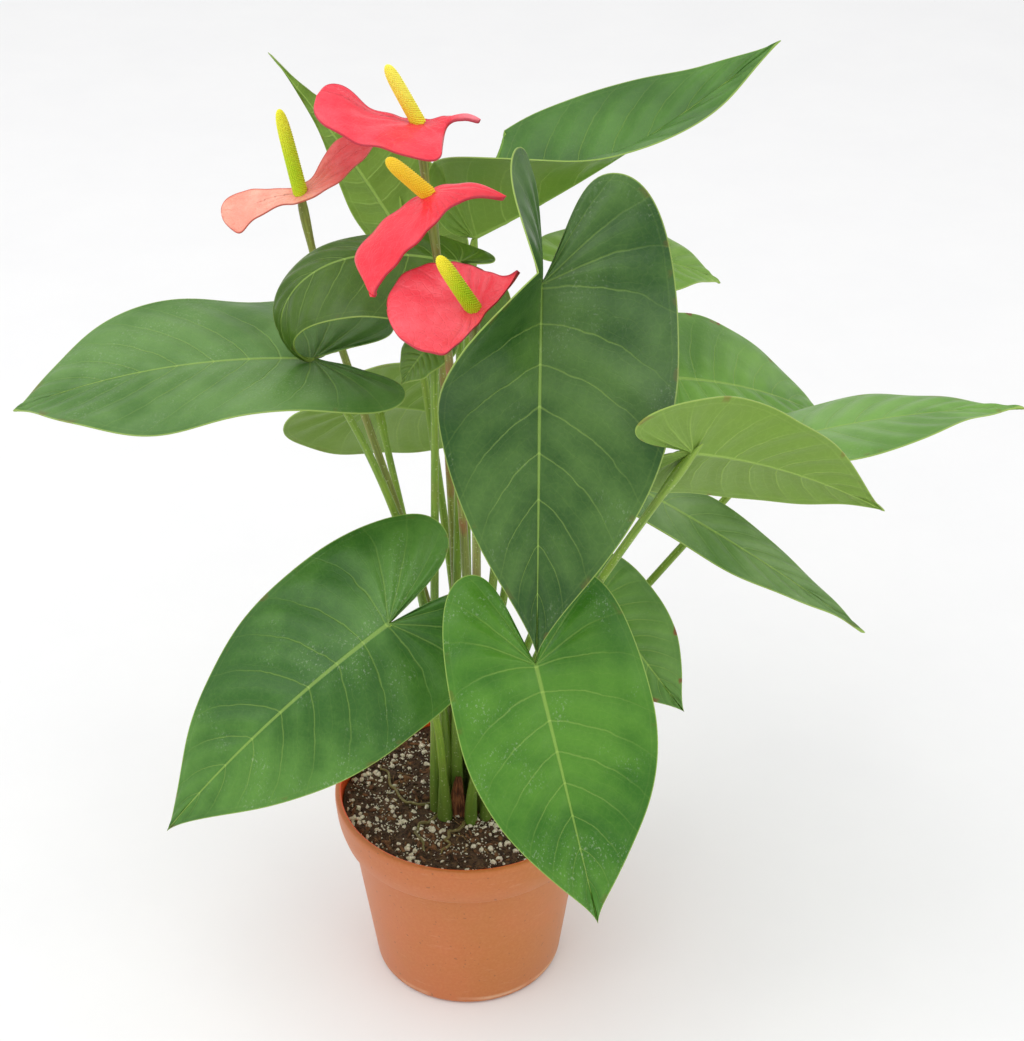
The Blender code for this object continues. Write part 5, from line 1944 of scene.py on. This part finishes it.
# ---------------------------------------------------------------- leaves and flowers
LEAVES: dict[str, tuple[Blade, Stalk]] = {
    "low_left": (
        Blade(base=(-0.029, -0.050, 0.222), tip=(-0.122, -0.080, 0.138), face=(-0.20, -0.60, 0.75),
              width=(0.042, 0.046), lobe=(0.040, 0.042), bow=35, fold=(-22, 2), fold_tip=(-15, 0)),
        Stalk(bearing=232, arrive=(-0.4, -0.3, 0.85)),
    ),
    "low_front": (
        Blade(base=(0.030, -0.087, 0.229), tip=(0.055, -0.126, 0.130), face=(0.05, -0.85, 0.45),
              width=(0.041, 0.036), lobe=(0.033, 0.040), sinus=0.14, bow=25, fold=(6, 10)),
        Stalk(bearing=278, arrive=(0.1, -0.5, 0.85)),
    ),
    "tall_front": (
        Blade(base=(0.031, -0.062, 0.380), tip=(0.030, -0.110, 0.250), face=(0.0, -0.80, 0.35),
              width=(0.050, 0.038), lobe=(0.040, 0.046), sinus=0.20, bow=25, fold=(4, 12),
              fold_tip=(6, 4), curl=(14, -8), lobe_fold=(-6, 80)),
        Stalk(stem=1, bearing=30, arrive=(0.1, -0.5, 0.85)),
    ),
    "right_under": (
        Blade(base=(0.086, -0.092, 0.328), tip=(0.162, -0.070, 0.289), face=(0.10, 0.90, 0.40),
              width=(0.034, 0.026), lobe=(0.014, 0.032), bow=24, fold=(10, 0), lobe_fold=(0, 12),
              curl=(-12, 20)),
        Stalk(bearing=304, arrive=(0.38, -0.28, 0.85), rise=0.17, reach=0.37),
    ),
    "right_far": (
        Blade(base=(0.131, 0.015, 0.269), tip=(0.236, 0.025, 0.279), face=(0.0, 0.20, 0.97),
              width=(0.030, 0.034), lobe=(0.024, 0.028), bow=16, fold=(6, 0)),
        Stalk(bearing=10, arrive=(0.55, 0.05, 0.83), rise=0.18, reach=0.2),
    ),
    "right_mid": (
        Blade(base=(0.093, 0.062, 0.273), tip=(0.168, 0.108, 0.225), face=(0.05, -0.35, 0.90),
              width=(0.040, 0.024), lobe=(0.042, 0.016), bow=25, lift=(30, 0), fold=(8, -12)),
        Stalk(bearing=33, arrive=(0.5, 0.1, 0.85)),
    ),
    "right_back": (
        Blade(base=(0.054, 0.060, 0.330), tip=(0.110, 0.070, 0.315), face=(0.1, -0.2, 0.97),
              width=(0.026, 0.024), lobe=(0.022, 0.022), bow=45),
        Stalk(bearing=56, arrive=(0.3, 0.4, 0.85)),
    ),
    "right_low": (
        Blade(base=(0.074, -0.004, 0.257), tip=(0.168, -0.030, 0.203), face=(0.45, -0.30, 0.85),
              width=(0.016, 0.018), lobe=(0.022, 0.020), bow=10, fold=(4, 8), fold_tip=(10, 14)),
        Stalk(bearing=350, arrive=(0.5, 0.0, 0.85)),
    ),
    "low_right": (
        Blade(base=(0.057, -0.018, 0.212), tip=(0.095, -0.026, 0.158), face=(0.15, -0.95, 0.2),
              width=(0.021, 0.022), lobe=(0.016, 0.018), bow=15),
        Stalk(bearing=328, arrive=(0.4, -0.2, 0.85)),
    ),
    "top_right": (
        Blade(base=(0.005, 0.062, 0.340), tip=(0.129, 0.075, 0.421), face=(-0.3, -0.02, 0.95),
              width=(0.042, 0.042), lobe=(-0.030, 0.010), bow=-14, fold=(40, 100), fold_tip=(28, -15)),
        Stalk(stem=2, bearing=330, arrive=(0.1, 0.2, 0.95)),
    ),
    "top_left": (
        Blade(base=(-0.025, 0.088, 0.326), tip=(-0.082, 0.110, 0.403), face=(0.1, 0.95, 0.2),
              width=(0.031, 0.016), lobe=(0.022, 0.020), form=Outline.SLENDER, bow=20),
        Stalk(stem=2, bearing=90, arrive=(-0.1, 0.3, 0.95)),
    ),
    "left_wide": (
        Blade(base=(-0.059, 0.0, 0.316), tip=(-0.179, -0.010, 0.298), face=(0.0, -0.15, 0.99),
              width=(0.041, 0.043), lobe=(0.036, 0.034), form=Outline.FULL, sinus=0.20, bow=30,
              wave=0.004, phase=2.0),
        Stalk(stem=0, bearing=180, arrive=(-0.5, 0.0, 0.85)),
    ),
    "left_curled": (
        Blade(base=(0.000, 0.018, 0.350), tip=(-0.058, -0.002, 0.317), face=(-0.5, -0.15, 0.85),
              width=(0.036, 0.020), lobe=(0.020, 0.018), bow=185, hook=2.4, fold=(-26, 10),
              fold_tip=(-10, 8)),
        Stalk(stem=0, bearing=300, arrive=(0.0, 0.2, 1.0)),
    ),
    "back_pale": (
        Blade(base=(-0.040, 0.086, 0.246), tip=(0.025, 0.106, 0.218), face=(0.1, 0.9, 0.35),
              width=(0.046, 0.032), lobe=(0.036, 0.026), bow=20),
        Stalk(bearing=125, arrive=(-0.2, 0.5, 0.8)),
    ),
    "back_small": (
        Blade(base=(-0.010, -0.008, 0.328), tip=(-0.023, -0.014, 0.312), face=(0.0, -0.3, 0.9),
              width=(0.011, 0.011), lobe=(0.009, 0.009), bow=25),
        Stalk(bearing=207, arrive=(0.0, 0.1, 1.0)),
    ),
}

# Ribs run from the left end of a spathe to its right end.
FLOWERS: dict[str, tuple[Spathe, Stalk, Point]] = {
    "left": (
        Spathe(base=(4.0, -0.35), arch=-0.0006,
               ribs=((-99, 55, 354, 8, 12, 23), (-91, 55, 355, 11, 3, 24), (-83, 55, 359, 8, -2, 22),
                     (-73, 54, 362, 5, -4, 19), (-66, 53, 364, 6, 4, 11), (-59, 55, 367, 6, 18, 13),
                     (-52, 58, 374, 8, 27, 26), (-44, 62, 380, 8, 29, 19), (-36, 66, 382, 5, 27, 13))),
        Stalk(stem=0, bearing=60, arrive=(-0.1, 0.0, 1.0)),
        (-0.072, 0.050, 0.402),
    ),
    "top": (
        Spathe(base=(4.0, -0.75), arch=0.0012,
               ribs=((-56, 41, 410, 11, -15, 22), (-48, 39, 407, 13, -12, 16), (-38, 36, 401, 14, -8, 7),
                     (-26, 35, 398, 15, -5, 3), (-16, 34, 396, 16, 1, 8), (-8, 35, 396, 14, 5, 10),
                     (-4, 44, 399, 3, -10, 20), (2, 46, 400, 2, -7, 16), (8, 46, 398, 2, -7, 16))),
        Stalk(stem=2, bearing=210, arrive=(-0.1, 0.1, 1.0)),
        (-0.028, 0.040, 0.424),
    ),
    "middle": (
        Spathe(base=(3.0, -0.70), arch=0.0014,
               ribs=((18, -30, 399, 2, 5, 24), (9, -32, 403, 4, 1, 12), (0, -35, 403, 7, 4, 8),
                     (-8, -40, 401, 11, 11, 6), (-15, -43, 396, 12, 18, 5), (-22, -46, 391, 12, 21, 5),
                     (-28, -49, 385, 12, 25, 4), (-32, -52, 380, 10, 28, 6), (-29, -59, 374, 3, 28, 16))),
        Stalk(stem=1, bearing=150, arrive=(-0.1, -0.1, 1.0)),
        (-0.024, -0.040, 0.419),
    ),
    "front": (
        Spathe(base=(4.85, 0.25), arch=-0.0010,
               ribs=((-24, -68, 374, 10, 2, 14), (-18, -70, 375, 17, 2, 17), (-10, -70, 375, 21, 2, 20),
                     (-3, -70, 375, 22, 1, 20), (2, -68, 376, 20, 0, 19), (8, -66, 377, 15, -1, 18),
                     (13, -66, 379, 10, -5, 16), (19, -65, 382, 4, -6, 16), (23, -63, 386, 1, -2, 22))),
        Stalk(stem=1, bearing=270, arrive=(0.0, -0.3, 1.0)),
        (-0.005, -0.076, 0.398),
    ),
}

# How each leaf differs in colour: its deep green, its fresh green, dust and scars.
LEAF_COLORS: dict[str, tuple[Color, Color, float, float]] = {
    "low_left": (srgb(50, 96, 30), srgb(96, 144, 60), 0.55, 0.3),
    "low_front": (srgb(48, 102, 18), srgb(90, 142, 44), 0.50, 0.2),
    "tall_front": (srgb(38, 76, 24), srgb(86, 122, 56), 0.25, 0.2),
    "right_under": (srgb(78, 114, 34), srgb(112, 142, 58), 0.1, 0.4),
    "right_far": (srgb(94, 138, 58), srgb(128, 174, 84), 0.2, 0.3),
    "right_mid": (srgb(80, 126, 40), srgb(118, 164, 66), 0.2, 1.0),
    "right_back": (srgb(112, 152, 62), srgb(150, 184, 92), 0.1, 0.0),
    "right_low": (srgb(80, 118, 54), srgb(128, 158, 98), 0.2, 0.2),
    "low_right": (srgb(78, 122, 46), srgb(116, 158, 74), 0.1, 1.0),
    "top_right": (srgb(58, 100, 34), srgb(88, 136, 52), 0.1, 0.0),
    "top_left": (srgb(62, 92, 24), srgb(96, 120, 34), 0.1, 0.3),
    "left_wide": (srgb(72, 112, 48), srgb(108, 146, 80), 0.3, 0.3),
    "left_curled": (srgb(56, 86, 18), srgb(80, 112, 30), 0.1, 0.2),
    "back_pale": (srgb(112, 146, 58), srgb(140, 170, 84), 0.1, 0.2),
    "back_small": (srgb(82, 120, 44), srgb(120, 150, 70), 0.0, 0.0),
}

# The colours of each spathe, as its finish names them.
SPATHE_COLORS: dict[str, dict[str, Color | Pair]] = {
    # Partly painted light: the pale salmon left end stands partly for light on the lit top, and the dark red right
    # end partly for shade on the raised right wing.
    "left": dict(red=srgb(238, 148, 128), light=srgb(252, 192, 170), far=srgb(196, 46, 50),
                 far_light=srgb(226, 86, 86), rim=srgb(190, 84, 70), back=srgb(222, 110, 100), change=(0.45, 0.85)),
    "top": dict(red=srgb(232, 46, 66), light=srgb(248, 86, 100), far=srgb(226, 98, 112),
                far_light=srgb(246, 146, 156), change=(0.74, 0.95)),
    "middle": dict(red=srgb(226, 34, 54), light=srgb(244, 68, 84), far=srgb(226, 34, 54),
                   far_light=srgb(244, 68, 84)),
    "front": dict(red=srgb(234, 62, 76), light=srgb(250, 104, 116), far=srgb(228, 52, 66),
                  far_light=srgb(246, 88, 100)),
}

# Each spadix at its foot and its tip, and the share of its height where the colour has changed.
SPADIX_COLORS: dict[str, tuple[Color, Color, float]] = {
    "left": (srgb(198, 226, 34), srgb(244, 240, 60), 0.66),
    "top": (srgb(238, 236, 60), srgb(255, 242, 96), 0.35),
    "middle": (srgb(248, 208, 40), srgb(250, 206, 48), 0.40),
    "front": (srgb(192, 226, 30), srgb(252, 234, 54), 0.70),
}


# How much of each flower stalk is flushed with brown.
FLUSHED: dict[str, float] = {"left": 0.25, "top": 0.75, "middle": 0.95, "front": 0.35}


@dataclass
class Foliage:
    """Leaves on their stalks.

    Args:
        ground: where the stalks stand.
        thickness: of a blade between its ribs.
        quilt: height of the bulges between ribs.
        ruffle: height of the waves along the edge.
        keel: height of the midrib under a blade.
        heels: how much thicker some stalks are at the foot, as a share of their radius.
    """

    ground: Ground
    thickness: float = 0.00050
    quilt: float = 0.0008
    ruffle: float = 0.0006
    keel: float = 0.0007
    heels: dict = field(default_factory=lambda: {"low_left": 0.75, "low_front": 0.45, "left_wide": 0.6})

    def build(self) -> None:
        """Each leaf and its stalk."""
        for number, (name, (blade, stalk)) in enumerate(LEAVES.items()):
            deep, fresh, dust, scars = LEAF_COLORS[name]
            finish = LeafFinish(f"leaf {name}", 1.7 * number, deep, fresh, dust=dust, scars=scars)
            sheet = BladeSheet(blade, self.thickness, self.quilt, self.ruffle, self.keel, number + 1.0)
            settle(sheet.build(f"blade_{name}", finish.material()), "leaf", f"leaf_{name}")
            skin = StalkFinish(f"stalk {name}", 2.3 * number)
            tube = StalkTube(stalk, np.array(blade.base), sheet.up, self.ground, self.heels.get(name, 0.35))
            settle(tube.build(f"petiole_{name}", skin.material()), "stalk", f"stalk_{name}")


@dataclass
class Blooms:
    """Waxy spathes, each with a spadix, on brownish stalks.

    Args:
        ground: where the stalks stand.
        thickness: of a spathe.
        pucker: height of its dents.
        ruffle: height of the waves along its edge.
        rod: radius of a spadix at its foot.
        floret: distance from floret to floret.
    """

    ground: Ground
    thickness: float = 0.0006
    pucker: float = 0.00035
    ruffle: float = 0.0003
    rod: float = 0.0029
    floret: float = 0.00085

    def build(self) -> None:
        """Each spathe, spadix and stalk."""
        bumps = Bumps()
        for number, (name, (spathe, stalk, top)) in enumerate(FLOWERS.items()):
            finish = SpatheFinish(f"spathe {name}", 50 + number, **SPATHE_COLORS[name])
            sheet = SpatheSheet(spathe, self.thickness, self.pucker, self.ruffle, number + 31.0)
            settle(sheet.build(f"waxy_spathe_{name}", finish.material()), "spathe", f"spathe_{name}")
            foot = sheet.foot - sheet.up * 0.0006
            low, high, change = SPADIX_COLORS[name]
            grain = SpadixFinish(f"spadix {name}", 60 + number, low, high, change)
            rod = bumps.cover(f"floret_spadix_{name}", foot, np.array(top), self.rod, 0.08, self.floret,
                              grain.material())
            settle(rod, "spadix", f"spadix_{name}")
            skin = StalkFinish(f"flower stalk {name}", 70 + number, srgb(146, 158, 72), srgb(116, 124, 52),
                               srgb(150, 92, 58), FLUSHED[name])
            tube = StalkTube(stalk, sheet.foot, sheet.up, self.ground, 0.25)
            settle(tube.build(f"peduncle_{name}", skin.material()), "flower_stalk", f"flower_stalk_{name}")


# ---------------------------------------------------------------- stage
@dataclass
class Stage:
    """A pale floor, soft studio light and the camera.

    Args:
        reach: radius of the floor.
        eye: where the camera stands.
        pitch: degrees that it looks down.
        focal: focal length as a multiple of the picture's long side.
    """

    reach: float = 4.0
    eye: Point = (0.0208, -0.740, 0.718)
    pitch: float = 32.9
    focal: float = 2100 / 1041

    def build(self) -> None:
        """Floor, lights, sky and camera."""
        self._floor()
        self._light("key", (-0.8, -0.6, 1.9), 2.0, 19.0)
        self._light("fill", (1.4, -0.9, 1.1), 1.6, 6.0)
        sky = bpy.data.worlds.new("studio")
        sky.use_nodes = True
        background = sky.node_tree.nodes["Background"]
        background.inputs["Color"].default_value = (1.0, 1.0, 1.0, 1.0)
        background.inputs["Strength"].default_value = 0.90
        scene = bpy.context.scene
        scene.world = sky
        scene.view_settings.view_transform = "Standard"
        lens = bpy.data.cameras.new("camera")
        lens.sensor_width = 36.0
        lens.lens = 36.0 * self.focal
        lens.clip_end = 30.0
        camera = bpy.data.objects.new("camera", lens)
        camera.location = self.eye
        camera.rotation_euler = (math.radians(90 - self.pitch), 0.0, 0.0)
        scene.collection.objects.link(camera)
        scene.camera = camera

    def _floor(self) -> None:
        """A large level disc."""
        sides, reaches = 64, (0.2, 0.8, 2.0, self.reach)
        angles = np.arange(sides) * 2 * math.pi / sides
        points = [(r * math.cos(a), r * math.sin(a), -0.0002) for r in reaches for a in angles] + [(0, 0, -0.0002)]
        faces = [(i * sides + k, (i + 1) * sides + k, (i + 1) * sides + (k + 1) % sides, i * sides + (k + 1) % sides)
                 for i in range(len(reaches) - 1) for k in range(sides)]
        faces += [(len(points) - 1, k, (k + 1) % sides) for k in range(sides)]
        floor = piece("studio_floor", np.array(points), faces, FloorFinish("pale floor").material())

    def _light(self, name: str, spot: Point, size: float, power: float) -> None:
        """A large soft lamp that looks at the plant.

        Args:
            name: the lamp's name.
            spot: where it hangs.
            size: length of its sides.
            power: in watts.
        """
        lamp = bpy.data.lights.new(name, "AREA")
        lamp.size, lamp.energy = size, power
        made = bpy.data.objects.new(name, lamp)
        made.location = spot
        made.rotation_euler = (Vector((0, 0, 0.22)) - Vector(spot)).to_track_quat("-Z", "Y").to_euler()
        bpy.context.scene.collection.objects.link(made)


def main() -> None:
    """Build every piece, from the pot up."""
    logging.basicConfig(level=logging.INFO, format="%(message)s")
    ground = Ground()
    pot = Pot()
    pot.build()
    mix = PottingMix(pot)
    mix.build()
    Crown(ground, mix).build()
    Foliage(ground).build()
    Blooms(ground).build()
    Stage().build()


if __name__ == "__main__":
    main()
